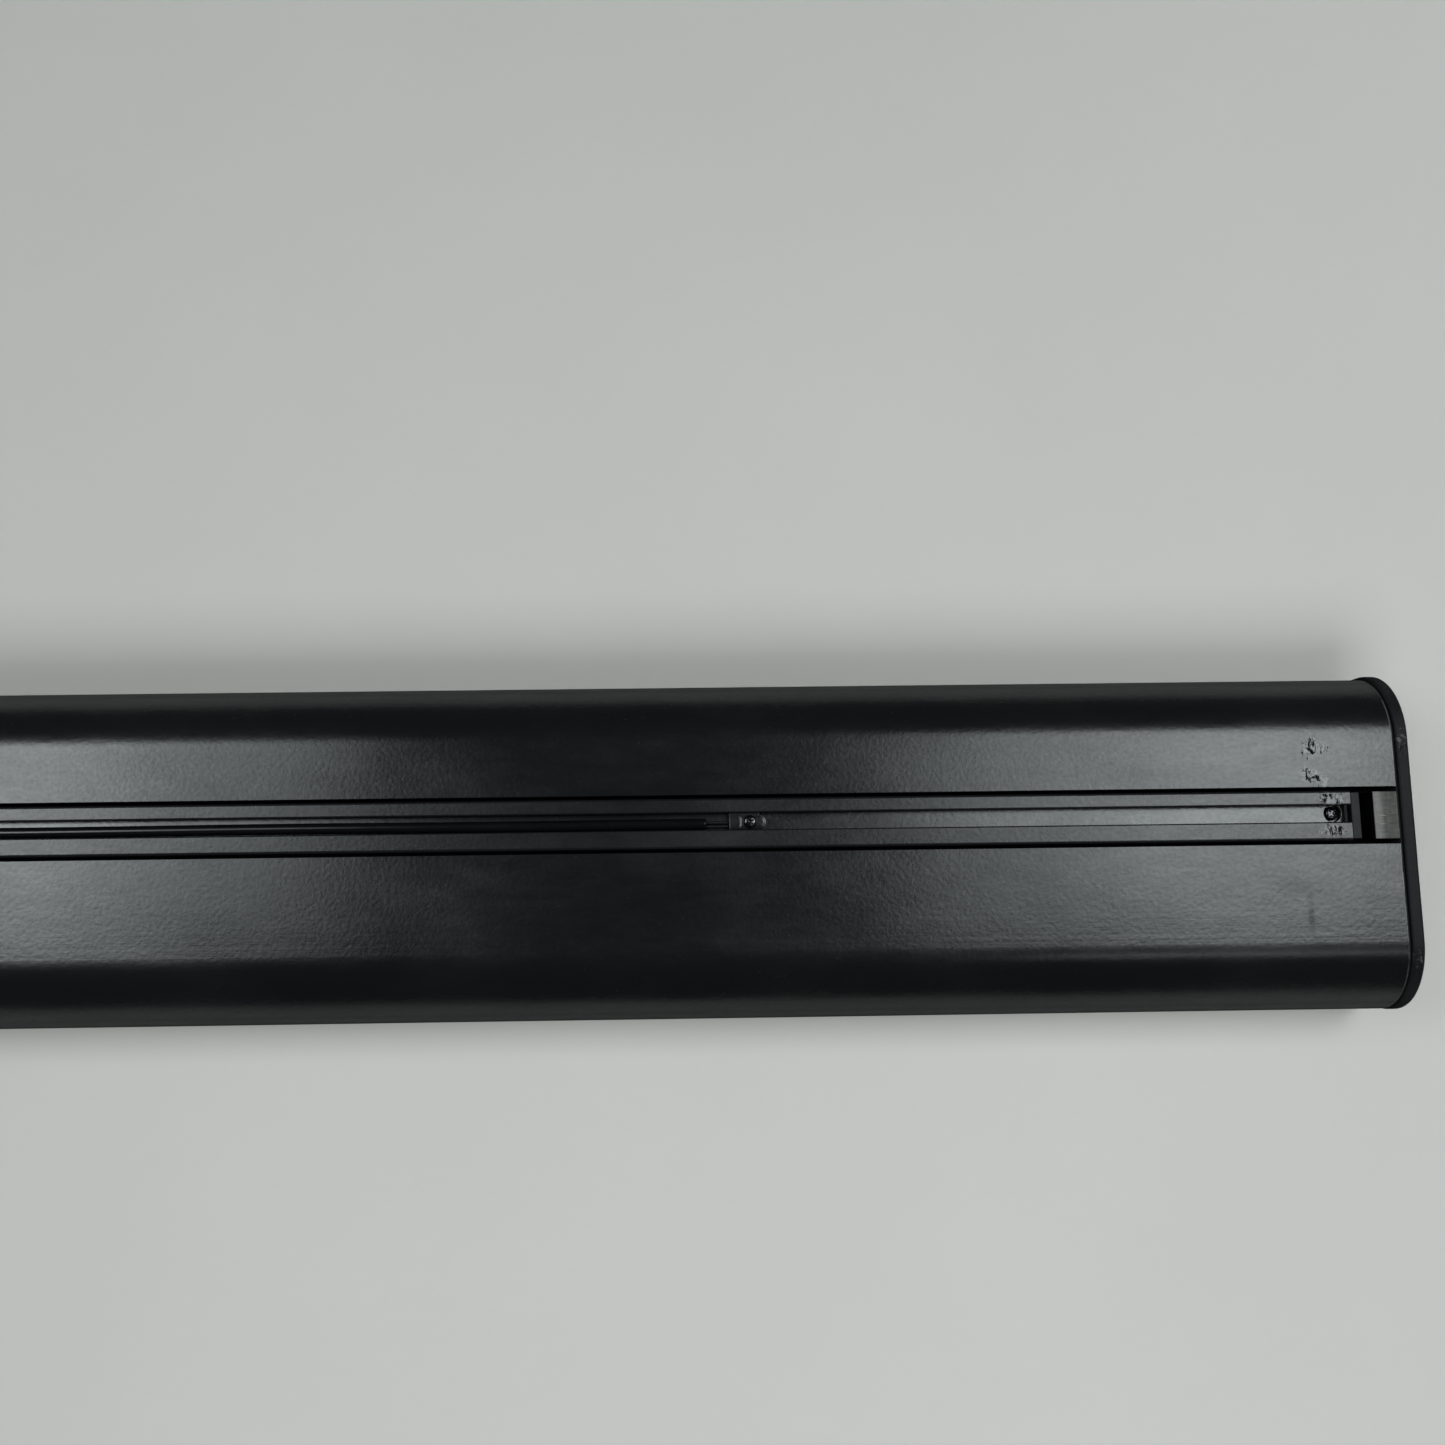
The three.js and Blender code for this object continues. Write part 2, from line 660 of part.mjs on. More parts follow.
// Driver with its two fixing lugs, the terminal block and the wiring between them
function makeDriver() {
  const low = trayTop + GAP;
  const end = DRIVER_START + DRIVER_SIZE.length;
  const sideY = DRIVER_SIZE.width / 2;
  const body = toSolid(
    boxBetween([DRIVER_START, DRIVER_Y - sideY, low], [end, DRIVER_Y + sideY, low + DRIVER_SIZE.height]),
  );
  const foot = toSolid(
    boxBetween(
      [DRIVER_START - DRIVER_LUG, DRIVER_Y - sideY, low],
      [end + DRIVER_LUG, DRIVER_Y + sideY, low + LUG_THICKNESS],
    ),
  );
  const screwY = DRIVER_Y - sideY + 7;
  const screwPlaces = [DRIVER_START - DRIVER_LUG / 2, end + DRIVER_LUG / 2];
  const holes = screwPlaces.map((x) =>
    toSolid(uprightCylinder(x, screwY, low - 1, low + 3, SCREW_SIZES.driver.shank + CLEARANCE, 12)),
  );
  addPiece('led_driver', cut(join(body, foot), ...holes), FINISHES.driverGrey());
  const stud = { ...SCREW_SIZES.driver, length: 1.6 };
  screwPlaces.forEach((x, index) => {
    const solid = screwSolid(stud).translate([x, screwY, low + LUG_THICKNESS + 0.1]);
    addPiece(`driver_screw_${index + 1}`, solid, FINISHES.steel());
  });

  const terminalTop = WIRE_LEVEL + TERMINAL.rise;
  const terminal = toSolid(
    boxBetween(
      [TERMINAL.start, LEAD_Y - TERMINAL.halfWidth, low],
      [TERMINAL.end, LEAD_Y + TERMINAL.halfWidth, terminalTop],
    ),
  );
  const wells = [-1, 0, 1].map((step) =>
    toSolid(
      uprightCylinder(
        (TERMINAL.start + TERMINAL.end) / 2,
        LEAD_Y + step * TERMINAL.pitch,
        terminalTop - TERMINAL.depth,
        terminalTop + 1,
        TERMINAL.well,
        12,
      ),
    ),
  );
  addPiece('terminal_block', cut(terminal, ...wells), FINISHES.terminalPlastic());

  const inlet = [
    [entryDropX, LEAD_Y, railBottom + 1],
    [entryDropX, LEAD_Y, 39],
    [entryDropX + 4, LEAD_Y, 32],
    [entryDropX + 14, LEAD_Y, WIRE_LEVEL],
    [TERMINAL.start - GAP, LEAD_Y, WIRE_LEVEL],
  ];
  addPiece('inner_lead', wire(inlet, LEAD_RADIUS - 0.1, 10), FINISHES.cable());
  const feed = [
    [TERMINAL.end + GAP, LEAD_Y, WIRE_LEVEL],
    [TERMINAL.end + LEAD_OUT, LEAD_Y, WIRE_LEVEL],
    [TERMINAL.end + 14, LEAD_Y - 4, WIRE_LEVEL],
    [DRIVER_START - 24, DRIVER_Y + 12, WIRE_LEVEL],
    [DRIVER_START - 12, DRIVER_Y + 2, WIRE_LEVEL],
    [DRIVER_START - LEAD_OUT, DRIVER_Y, WIRE_LEVEL],
    [DRIVER_START - GAP, DRIVER_Y, WIRE_LEVEL],
  ];
  addPiece('driver_input_lead', wire(feed, INPUT_LEAD_RADIUS, 12), FINISHES.cable());
  const output = [
    [end + GAP, DRIVER_Y, WIRE_LEVEL + 3],
    [end + LEAD_OUT, DRIVER_Y, WIRE_LEVEL + 3],
    [end + 18, DRIVER_Y + 6, WIRE_LEVEL + 3],
    [OUTLET_X - 3, -6, WIRE_LEVEL + 2],
    [OUTLET_X, -0.5, WIRE_LEVEL - 3],
    [OUTLET_X, 0, TRAY_LEVEL - 3],
  ];
  addPiece('driver_output_lead', wire(output, OUTPUT_LEAD_RADIUS, 12), FINISHES.cable());
}

makeHousing();
makeDiffuser();
makeRail();
makeFixingScrews();
makeEntryBlock();
makeEndBlocks();
makeCaps();
makeClamp();
makeLead();
makeTray();
makeBoards();
makeDriver();

export default batten;
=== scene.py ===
import math

import bmesh
import bpy
import numpy as np
from mathutils import Matrix, Vector


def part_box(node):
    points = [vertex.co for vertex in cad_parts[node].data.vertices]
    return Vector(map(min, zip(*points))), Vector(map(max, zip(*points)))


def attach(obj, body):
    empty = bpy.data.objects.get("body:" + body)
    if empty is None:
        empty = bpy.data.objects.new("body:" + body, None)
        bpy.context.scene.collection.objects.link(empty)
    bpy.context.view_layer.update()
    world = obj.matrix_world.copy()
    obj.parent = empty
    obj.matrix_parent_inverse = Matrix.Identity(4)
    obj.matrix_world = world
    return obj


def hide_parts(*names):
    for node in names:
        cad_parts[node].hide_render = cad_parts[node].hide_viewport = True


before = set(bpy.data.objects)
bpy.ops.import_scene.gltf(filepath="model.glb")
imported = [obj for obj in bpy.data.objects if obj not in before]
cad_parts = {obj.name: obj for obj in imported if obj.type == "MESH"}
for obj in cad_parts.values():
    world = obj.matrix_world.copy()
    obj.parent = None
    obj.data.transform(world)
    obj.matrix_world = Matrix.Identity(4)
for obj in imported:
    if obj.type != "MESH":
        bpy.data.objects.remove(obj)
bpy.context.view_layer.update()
mm = 0.001


def nodeBox(name):
    low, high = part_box(name)
    return np.array(low), np.array(high)


# ---- camera ----
camera = {
    "place": (0.2304, -0.0272, 0.6202),  # above the back, near the middle of the visible stretch
    "tilt": 8.10,                        # degrees towards the far side
    "yaw": -0.88,
    "roll": -0.79,
    "lens": 33.28,
}


def makeCamera(look):
    # turned about Y by the yaw, then X by the tilt, then Z by the roll, from looking straight down
    data = bpy.data.cameras.new("camera")
    data.lens = look["lens"]
    data.sensor_width = 36
    eye = bpy.data.objects.new("camera", data)
    turn = (
        Matrix.Rotation(math.radians(look["yaw"]), 4, "Y")
        @ Matrix.Rotation(math.radians(look["tilt"]), 4, "X")
        @ Matrix.Rotation(math.radians(look["roll"]), 4, "Z")
    )
    eye.matrix_world = Matrix.Translation(look["place"]) @ turn
    bpy.context.scene.collection.objects.link(eye)
    bpy.context.scene.camera = eye


makeCamera(camera)
print("camera placed")


# ---- measures taken from the frame ----
bodyLow, bodyHigh = nodeBox("housing")
railLow, railHigh = nodeBox("slot_rail")
stopHigh = nodeBox("rail_stop")[1]
blockLow, blockHigh = nodeBox("clamp_block")
plateLow, plateHigh = nodeBox("clamp_plate")
leadLow, leadHigh = nodeBox("supply_lead")
capLow, capHigh = nodeBox("right_cap")
gasketLow, gasketHigh = nodeBox("right_gasket")
top = railHigh[2]
halfWidth = bodyHigh[1]
grooveMid = (railLow[1] + railHigh[1]) / 2
slotMid = (blockLow[1] + blockHigh[1]) / 2
neckMid = (plateLow[1] + plateHigh[1]) / 2
leadMid = (leadLow[1] + leadHigh[1]) / 2
leadLevel = (leadLow[2] + leadHigh[2]) / 2
leadRadius = (leadHigh[2] - leadLow[2]) / 2


# ---- mesh tools ----
support = 0.12 * mm  # a row of points this close to a rounding keeps its flat flat
roundSteps = 4


def roundedLoop(corners):
    # each corner (y, z, radius, steps) becomes an arc; its tangent points lie radius / tan(half the angle) away
    points = []
    count = len(corners)
    for i, (y, z, radius, steps) in enumerate(corners):
        here = np.array([y, z])
        before = np.array(corners[i - 1][:2]) - here
        after = np.array(corners[(i + 1) % count][:2]) - here
        before /= np.linalg.norm(before)
        after /= np.linalg.norm(after)
        angle = math.acos(float(np.clip(before @ after, -1, 1)))
        reach = radius / math.tan(angle / 2)
        bisector = (before + after) / np.linalg.norm(before + after)
        centre = here + bisector * radius / math.sin(angle / 2)
        first = here + before * reach
        last = here + after * reach
        turn = np.linspace(0, 1, steps + 1)
        sweep = math.pi - angle
        a = first - centre
        b = last - centre
        arc = (
            np.outer(np.sin((1 - turn) * sweep), a) + np.outer(np.sin(turn * sweep), b)
        ) / math.sin(sweep)
        points.append(first + before * support)
        points.extend(centre + arc)
        points.append(last + after * support)
    return np.array(points)


def circle(y, z, radius, count=48):
    turn = np.linspace(0, 2 * np.pi, count, endpoint=False)
    return np.column_stack([y + radius * np.cos(turn), z + radius * np.sin(turn)])


def inset(loop, amount):
    # every point moves along the mean of its two sides' inward normals
    side = np.roll(loop, -1, 0) - loop
    side /= np.linalg.norm(side, axis=1)[:, None]
    normal = np.column_stack([-side[:, 1], side[:, 0]])
    mean = normal + np.roll(normal, 1, 0)
    mean /= np.linalg.norm(mean, axis=1)[:, None]
    y, z = loop.T
    area = np.sum(y * np.roll(z, -1) - z * np.roll(y, -1))
    return loop + mean * amount * np.sign(area)


def atX(x, loop):
    return np.column_stack([np.full(len(loop), x), loop])


def atZ(z, loop):
    return np.column_stack([loop, np.full(len(loop), z)])


def addRings(mesh, rings):
    # closed rings of equal length, joined by quads; gives back the first and last row of vertices
    rows = [[mesh.verts.new(point) for point in ring] for ring in rings]
    count = len(rows[0])
    for low, high in zip(rows, rows[1:]):
        for i in range(count):
            j = (i + 1) % count
            mesh.faces.new((low[i], low[j], high[j], high[i]))
    return rows[0], rows[-1]


def fillPlane(mesh, rows, normal):
    # the flat region between closed rows of vertices
    edges = []
    for row in rows:
        for a, b in zip(row, row[1:] + row[:1]):
            edges.append(mesh.edges.get((a, b)) or mesh.edges.new((a, b)))
    bmesh.ops.triangle_fill(mesh, use_beauty=True, use_dissolve=False, edges=edges, normal=normal)


def finishMesh(mesh, name, material, sharp=40):
    bmesh.ops.remove_doubles(mesh, verts=mesh.verts, dist=1e-6)
    bmesh.ops.recalc_face_normals(mesh, faces=mesh.faces)
    data = bpy.data.meshes.new(name)
    mesh.to_mesh(data)
    mesh.free()
    data.shade_smooth()
    data.set_sharp_from_angle(angle=math.radians(sharp))
    data.materials.append(material)
    piece = bpy.data.objects.new(name, data)
    bpy.context.scene.collection.objects.link(piece)
    return piece


def endStations(start, end, edge):
    # quarter rounds at both ends: x runs from the face inwards while the outline grows to full size
    turn = np.linspace(0, math.pi / 2, roundSteps + 1)
    x = edge * (1 - np.cos(turn))
    shrink = edge * (1 - np.sin(turn))
    left = [(start, edge + support), *zip(start + x, shrink), (start + edge + support, 0.0)]
    right = [(start + end - place, amount) for place, amount in reversed(left)]
    return left + right


def runSolid(name, loop, start, end, edge, material, bores=()):
    # an outline carried along X with rounded end edges; a bore is (y, z, [(x, radius), ...]),
    # listed from start to end
    mesh = bmesh.new()
    stations = endStations(start, end, edge)
    first, last = addRings(mesh, [atX(x, inset(loop, amount)) for x, amount in stations])
    starts = [first]
    ends = [last]
    for y, z, profile in bores:
        a, b = addRings(mesh, [atX(x, circle(y, z, radius)) for x, radius in profile])
        starts.append(a)
        ends.append(b)
    fillPlane(mesh, starts, (-1, 0, 0))
    fillPlane(mesh, ends, (1, 0, 0))
    return finishMesh(mesh, name, material)


def place(piece, body, slot, *nodes):
    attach(piece, body)
    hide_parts(*nodes)
    return piece


# ---- material tools ----
def startMaterial(name):
    material = bpy.data.materials.new(name)
    material.use_nodes = True
    tree = material.node_tree
    shader = tree.nodes["Principled BSDF"]
    where = tree.nodes.new("ShaderNodeTexCoord").outputs["Object"]
    return material, tree, shader, where


def link(tree, value, socket):
    if isinstance(value, bpy.types.NodeSocket):
        tree.links.new(value, socket)
    else:
        socket.default_value = value


def mapped(tree, where, scale=(1, 1, 1), offset=(0, 0, 0)):
    node = tree.nodes.new("ShaderNodeMapping")
    node.inputs["Scale"].default_value = scale
    node.inputs["Location"].default_value = offset
    tree.links.new(where, node.inputs["Vector"])
    return node.outputs["Vector"]


def noise(tree, where, scale, detail=2.0, rough=0.5):
    node = tree.nodes.new("ShaderNodeTexNoise")
    node.inputs["Scale"].default_value = scale
    node.inputs["Detail"].default_value = detail
    node.inputs["Roughness"].default_value = rough
    tree.links.new(where, node.inputs["Vector"])
    return node.outputs["Fac"]


def ramp(tree, value, low, high, toLow=0.0, toHigh=1.0):
    # straight line from toLow at low to toHigh at high, held beyond them
    node = tree.nodes.new("ShaderNodeMapRange")
    link(tree, value, node.inputs["Value"])
    link(tree, low, node.inputs["From Min"])
    link(tree, high, node.inputs["From Max"])
    link(tree, toLow, node.inputs["To Min"])
    link(tree, toHigh, node.inputs["To Max"])
    return node.outputs["Result"]


def maths(tree, operation, a, b=0.0):
    node = tree.nodes.new("ShaderNodeMath")
    node.operation = operation
    for value, socket in zip((a, b), node.inputs):
        link(tree, value, socket)
    return node.outputs[0]


def blendColour(tree, factor, a, b):
    node = tree.nodes.new("ShaderNodeMix")
    node.data_type = "RGBA"
    link(tree, factor, node.inputs["Factor"])
    for value, socket in ((a, node.inputs["A"]), (b, node.inputs["B"])):
        link(tree, value if isinstance(value, bpy.types.NodeSocket) else (*value, 1), socket)
    return node.outputs["Result"]


def bump(tree, shader, height, depth, under=None):
    node = tree.nodes.new("ShaderNodeBump")
    node.inputs["Strength"].default_value = 1.0
    node.inputs["Distance"].default_value = depth
    tree.links.new(height, node.inputs["Height"])
    if under is not None:
        tree.links.new(under, node.inputs["Normal"])
    tree.links.new(node.outputs["Normal"], shader.inputs["Normal"])
    return node.outputs["Normal"]


def axes(tree, where):
    node = tree.nodes.new("ShaderNodeSeparateXYZ")
    tree.links.new(where, node.inputs["Vector"])
    return node.outputs["X"], node.outputs["Y"], node.outputs["Z"]


def nearSpot(tree, where, spot, size):
    # 1 at the spot, falling to 0 at the edge of an ellipsoid round it
    centred = mapped(
        tree,
        where,
        scale=tuple(1 / s for s in size),
        offset=tuple(-p / s for p, s in zip(spot, size)),
    )
    node = tree.nodes.new("ShaderNodeVectorMath")
    node.operation = "LENGTH"
    tree.links.new(centred, node.inputs[0])
    core = 0.35  # the share of the way out that keeps the full strength
    return ramp(tree, node.outputs["Value"], core, 1.0, 1.0, 0.0)


# ---- finishes ----
coat = {
    "colour": (0.0078, 0.0083, 0.0092),
    "dust": (0.05, 0.052, 0.055),
    "bare": (0.30, 0.30, 0.31),
    "roughLow": 0.20,
    "roughHigh": 0.26,
    "specular": 0.5,
    "sideRough": 0.25,
    "peelSize": 1.8 * mm,
    "peelDepth": 0.055 * mm,
    "mottle": 0.10,
}


shadowBlack = (0.005, 0.005, 0.0055)


def strongest(tree, values):
    total = values[0]
    for value in values[1:]:
        total = maths(tree, "MAXIMUM", total, value)
    return total


def powderCoat(name, look, scuffs=(), smudges=(), rim=None, dieLines=0.0, recess=None):
    # scuffs are pale marks with dark nicks in them, smudges dull the gloss, the rim is a lighter patchy band
    # along the end edge, and inside the recess (middle, half width, depth) the coat is matt and darkened to
    # near black as painted shade; a coat with a floor gloss is polished on the slot's floor, and any other
    # coat turns matt down the sides
    material, tree, shader, where = startMaterial(name)
    x, y, z = axes(tree, where)
    haze = noise(tree, mapped(tree, where, (14, 30, 30)), 1.0, 6, 0.62)
    smear = noise(tree, mapped(tree, where, (55, 190, 190)), 1.0, 4, 0.6)
    dusty = ramp(tree, noise(tree, where, 700, 1, 0.4), 0.77, 0.82, 0.0, 0.5)
    colour = blendColour(tree, dusty, look["colour"], look["dust"])
    colour = blendColour(tree, ramp(tree, haze, 0.5, 0.85, 0.0, 0.05), colour, look["dust"])
    rough = ramp(tree, haze, 0.35, 0.7, look["roughLow"], look["roughHigh"])
    rough = maths(tree, "ADD", rough, ramp(tree, smear, 0.35, 0.7, -0.02, 0.02))
    gloss = ramp(tree, haze, 0.32, 0.68, look["specular"] * 0.8, look["specular"] * 1.2)  # clouds
    mottle = noise(tree, mapped(tree, where, (420, 620, 620)), 1.0, 3, 0.65)
    uneven = ramp(tree, mottle, 0.35, 0.65, 1 - look["mottle"], 1 + look["mottle"])
    gloss = maths(tree, "MULTIPLY", gloss, uneven)
    if "floorGloss" in look:
        floorTop = top - 6 * mm
        lipBottom = top - 5 * mm
        gloss = maths(tree, "MULTIPLY", gloss, ramp(tree, z, floorTop, lipBottom, look["floorGloss"], 1.0))
        rough = maths(tree, "ADD", rough, ramp(tree, z, floorTop, lipBottom, -0.05, 0.0))
    else:
        side = ramp(tree, z, top - 15 * mm, top - 4 * mm, 1.0, 0.0)
        rough = maths(tree, "ADD", rough, maths(tree, "MULTIPLY", side, look["sideRough"]))
        gloss = maths(tree, "MULTIPLY", gloss, ramp(tree, side, 0, 1, 1.0, 0.3))
        gloss = maths(tree, "MULTIPLY", gloss, ramp(tree, z, top - 22 * mm, top - 14 * mm, 0.06, 1.0))
    if scuffs:
        grain = noise(tree, mapped(tree, where, (600, 480, 480)), 1.0, 5, 0.7)
        blot = noise(tree, mapped(tree, where, (330, 260, 260), (3.1, 7.7, 1.3)), 1.0, 5, 0.75)
        spots = [
            maths(tree, "MULTIPLY", nearSpot(tree, where, spot, size), amount)
            for spot, size, amount in scuffs
        ]
        reach = strongest(tree, spots)
        pale = maths(tree, "ADD", grain, maths(tree, "MULTIPLY", reach, 0.30))
        pale = maths(tree, "MULTIPLY", ramp(tree, pale, 0.66, 0.80), ramp(tree, reach, 0.0, 0.25))
        stroke = noise(tree, mapped(tree, where, (760, 210, 210), (2.2, 4.1, 6.3)), 1.0, 4, 0.7)
        nick = maths(tree, "ADD", maths(tree, "MAXIMUM", blot, stroke), maths(tree, "MULTIPLY", reach, 0.16))
        nick = maths(tree, "MULTIPLY", ramp(tree, nick, 0.69, 0.715), ramp(tree, reach, 0.05, 0.3))
        colour = blendColour(tree, maths(tree, "MULTIPLY", pale, 0.62), colour, look["bare"])
        colour = blendColour(tree, nick, colour, (0.006, 0.006, 0.007))
        gloss = maths(tree, "MULTIPLY", gloss, ramp(tree, nick, 0, 1, 1.0, 0.06))
        rough = maths(tree, "ADD", rough, maths(tree, "MULTIPLY", nick, 0.4))
    for spot, size, amount in smudges:
        patchy = ramp(tree, smear, 0.3, 0.6, 0.2, amount)
        dull = maths(tree, "MULTIPLY", nearSpot(tree, where, spot, size), patchy)
        gloss = maths(tree, "MULTIPLY", gloss, ramp(tree, dull, 0, 1, 1.0, 0.3))
    if rim is not None:
        # a lighter, patchy band along the end edge
        along = maths(tree, "ABSOLUTE", x)
        rimPatches = ramp(tree, noise(tree, where, 190, 4, 0.6), 0.40, 0.56, 0.25, 1.0)
        edge = maths(tree, "MULTIPLY", ramp(tree, along, rim - 0.75 * mm, rim - 0.45 * mm), rimPatches)
        edge = maths(tree, "MULTIPLY", edge, ramp(tree, z, top - 14 * mm, top - 4 * mm))
        colour = blendColour(tree, maths(tree, "MULTIPLY", edge, 0.35), colour, look["bare"])
    if recess is not None:
        middle, half, depth = recess
        inside = maths(tree, "ABSOLUTE", maths(tree, "SUBTRACT", y, middle))
        inside = maths(tree, "LESS_THAN", inside, half)
        # painted shade: inside the groove the colour is darkened towards black and the gloss is cut
        shadedBelow = maths(tree, "MULTIPLY", inside, ramp(tree, z, top - depth, top - depth * 0.2, 1.0, 0.0))
        colour = blendColour(tree, shadedBelow, colour, shadowBlack)
        gloss = maths(tree, "MULTIPLY", gloss, ramp(tree, shadedBelow, 0, 1, 1.0, 0.2))
        rough = maths(tree, "ADD", rough, maths(tree, "MULTIPLY", shadedBelow, 0.5))
    tree.links.new(colour, shader.inputs["Base Color"])
    tree.links.new(rough, shader.inputs["Roughness"])
    tree.links.new(gloss, shader.inputs["Specular IOR Level"])
    peel = noise(tree, where, 1 / look["peelSize"], 3, 0.55)
    normal = bump(tree, shader, peel, look["peelDepth"])
    if dieLines:
        lines = noise(tree, mapped(tree, where, (0.9, 700, 700)), 1.0, 2, 0.6)
        rise = ramp(tree, y, -45 * mm, -41 * mm)
        band = maths(tree, "MULTIPLY", rise, ramp(tree, y, -33 * mm, -27 * mm, 1, 0.12))
        rise = ramp(tree, y, 39 * mm, 41.5 * mm)
        crest = maths(tree, "MULTIPLY", rise, ramp(tree, y, 44.5 * mm, 42.5 * mm, 0, 1))
        band = maths(tree, "MAXIMUM", band, crest)
        bump(tree, shader, maths(tree, "MULTIPLY", lines, band), dieLines, normal)
    return material


def plainFinish(
    name, colour, rough, grain, depth, metal=0.0, tone=0.2, stretch=(1, 1, 1), specular=0.5, shadedBelow=None
):
    # a moulded, drawn or plated surface: mottled colour, uneven roughness and a fine grain;
    # below the given level it is darkened to nearly black as painted shade
    material, tree, shader, where = startMaterial(name)
    shape = mapped(tree, where, stretch)
    cloud = noise(tree, shape, 0.12 / grain, 4, 0.6)
    fine = noise(tree, shape, 1 / grain, 3, 0.6)
    darker = tuple(c * (1 - tone) for c in colour)
    lighter = tuple(min(1, c * (1 + tone)) for c in colour)
    shade = blendColour(tree, ramp(tree, cloud, 0.3, 0.7), darker, lighter)
    # painted shade: below the given level the colour is darkened to nearly black
    if shadedBelow is not None:
        below = ramp(tree, axes(tree, where)[2], shadedBelow - 0.8 * mm, shadedBelow, 1.0, 0.0)
        shade = blendColour(tree, below, shade, shadowBlack)
    tree.links.new(shade, shader.inputs["Base Color"])
    tree.links.new(ramp(tree, fine, 0.3, 0.7, rough - 0.06, rough + 0.06), shader.inputs["Roughness"])
    shader.inputs["Metallic"].default_value = metal
    shader.inputs["Specular IOR Level"].default_value = specular
    bump(tree, shader, fine, depth)
    return material


def scratchedMetal(name, inner):
    # pale bare metal near the inner end of the block, duller and browner towards the cap, with streaks
    # along X; below its top face it is a black coat darkened to nearly black without gloss as painted shade
    material, tree, shader, where = startMaterial(name)
    x, y, z = axes(tree, where)
    along = maths(tree, "ABSOLUTE", x)
    streak = noise(tree, mapped(tree, where, (150, 900, 900)), 1.0, 6, 0.7)
    across = noise(tree, mapped(tree, where, (700, 120, 120)), 1.0, 5, 0.65)
    blot = noise(tree, where, 300, 5, 0.65)
    share = ramp(tree, along, inner + 2.2 * mm, inner + 4.6 * mm, 0.78, 0.20)
    worn = maths(tree, "ADD", share, ramp(tree, streak, 0.3, 0.7, -0.22, 0.22))
    worn = maths(tree, "ADD", worn, ramp(tree, across, 0.3, 0.7, -0.16, 0.16))
    colour = blendColour(tree, worn, (0.055, 0.052, 0.047), (0.30, 0.30, 0.285))
    nick = maths(tree, "MULTIPLY", ramp(tree, blot, 0.66, 0.70), ramp(tree, y, 6 * mm, 2 * mm))
    colour = blendColour(tree, nick, colour, (0.01, 0.01, 0.01))
    thin = noise(tree, mapped(tree, where, (90, 1500, 1500), (5, 2, 9)), 1.0, 3, 0.7)
    colour = blendColour(tree, ramp(tree, thin, 0.69, 0.73, 0.0, 0.8), colour, (0.55, 0.55, 0.53))
    # painted shade: below the top face the colour is nearly black and the gloss is cut
    shadedBelow = ramp(tree, z, top - 0.9 * mm, top - 0.3 * mm, 1.0, 0.0)
    colour = blendColour(tree, shadedBelow, colour, (0.006, 0.006, 0.006))
    tree.links.new(colour, shader.inputs["Base Color"])
    tree.links.new(ramp(tree, streak, 0.3, 0.7, 0.42, 0.6), shader.inputs["Roughness"])
    tree.links.new(
        ramp(tree, maths(tree, "MAXIMUM", nick, shadedBelow), 0, 1, 0.28, 0.03), shader.inputs["Specular IOR Level"]
    )
    shader.inputs["Metallic"].default_value = 0.0
    bump(tree, shader, maths(tree, "ADD", streak, across), 0.03 * mm)
    return material


def opalPlastic(name):
    # milky sheet with faint drawn lines along its length
    material, tree, shader, where = startMaterial(name)
    cloud = noise(tree, where, 12, 3, 0.5)
    lines = noise(tree, mapped(tree, where, (0.8, 420, 420)), 1.0, 2, 0.5)
    tree.links.new(
        blendColour(tree, ramp(tree, cloud, 0.3, 0.7), (0.80, 0.81, 0.79), (0.87, 0.88, 0.86)),
        shader.inputs["Base Color"],
    )
    tree.links.new(ramp(tree, cloud, 0.3, 0.7, 0.32, 0.42), shader.inputs["Roughness"])
    shader.inputs["Subsurface Weight"].default_value = 0.25
    shader.inputs["Subsurface Radius"].default_value = (0.004, 0.004, 0.004)
    bump(tree, shader, lines, 0.01 * mm)
    return material


rightEnd = bodyHigh[0]
scuffs = (
    ((rightEnd - 35.4 * mm, 39 * mm, top), (5.5 * mm, 7 * mm, 12 * mm), 1.0),
    ((rightEnd - 31 * mm, 38.5 * mm, top), (4.5 * mm, 4.5 * mm, 12 * mm), 0.7),
    ((rightEnd - 37 * mm, 27.5 * mm, top), (6 * mm, 5 * mm, 12 * mm), 1.0),
    ((rightEnd - 31.5 * mm, 25 * mm, top), (5.5 * mm, 4.5 * mm, 12 * mm), 0.8),
)
railScuffs = (
    ((rightEnd - 28.6 * mm, grooveMid + 7 * mm, top), (8.5 * mm, 4.5 * mm, 2.5 * mm), 1.0),
    ((rightEnd - 28.6 * mm, grooveMid - 6.5 * mm, top), (8 * mm, 4.5 * mm, 2.5 * mm), 0.9),
)
smudges = (
    ((rightEnd - 40.4 * mm, -31 * mm, top), (2 * mm, 11 * mm, 10 * mm), 0.55),
    ((rightEnd - 46 * mm, -20 * mm, top), (14 * mm, 5 * mm, 10 * mm), 0.12),
)
matt = {
    **coat, "colour": (0.011, 0.012, 0.0135), "roughLow": 0.5, "roughHigh": 0.6, "specular": 0.2,
    "peelSize": 2.2 * mm, "peelDepth": 0.05 * mm,
}
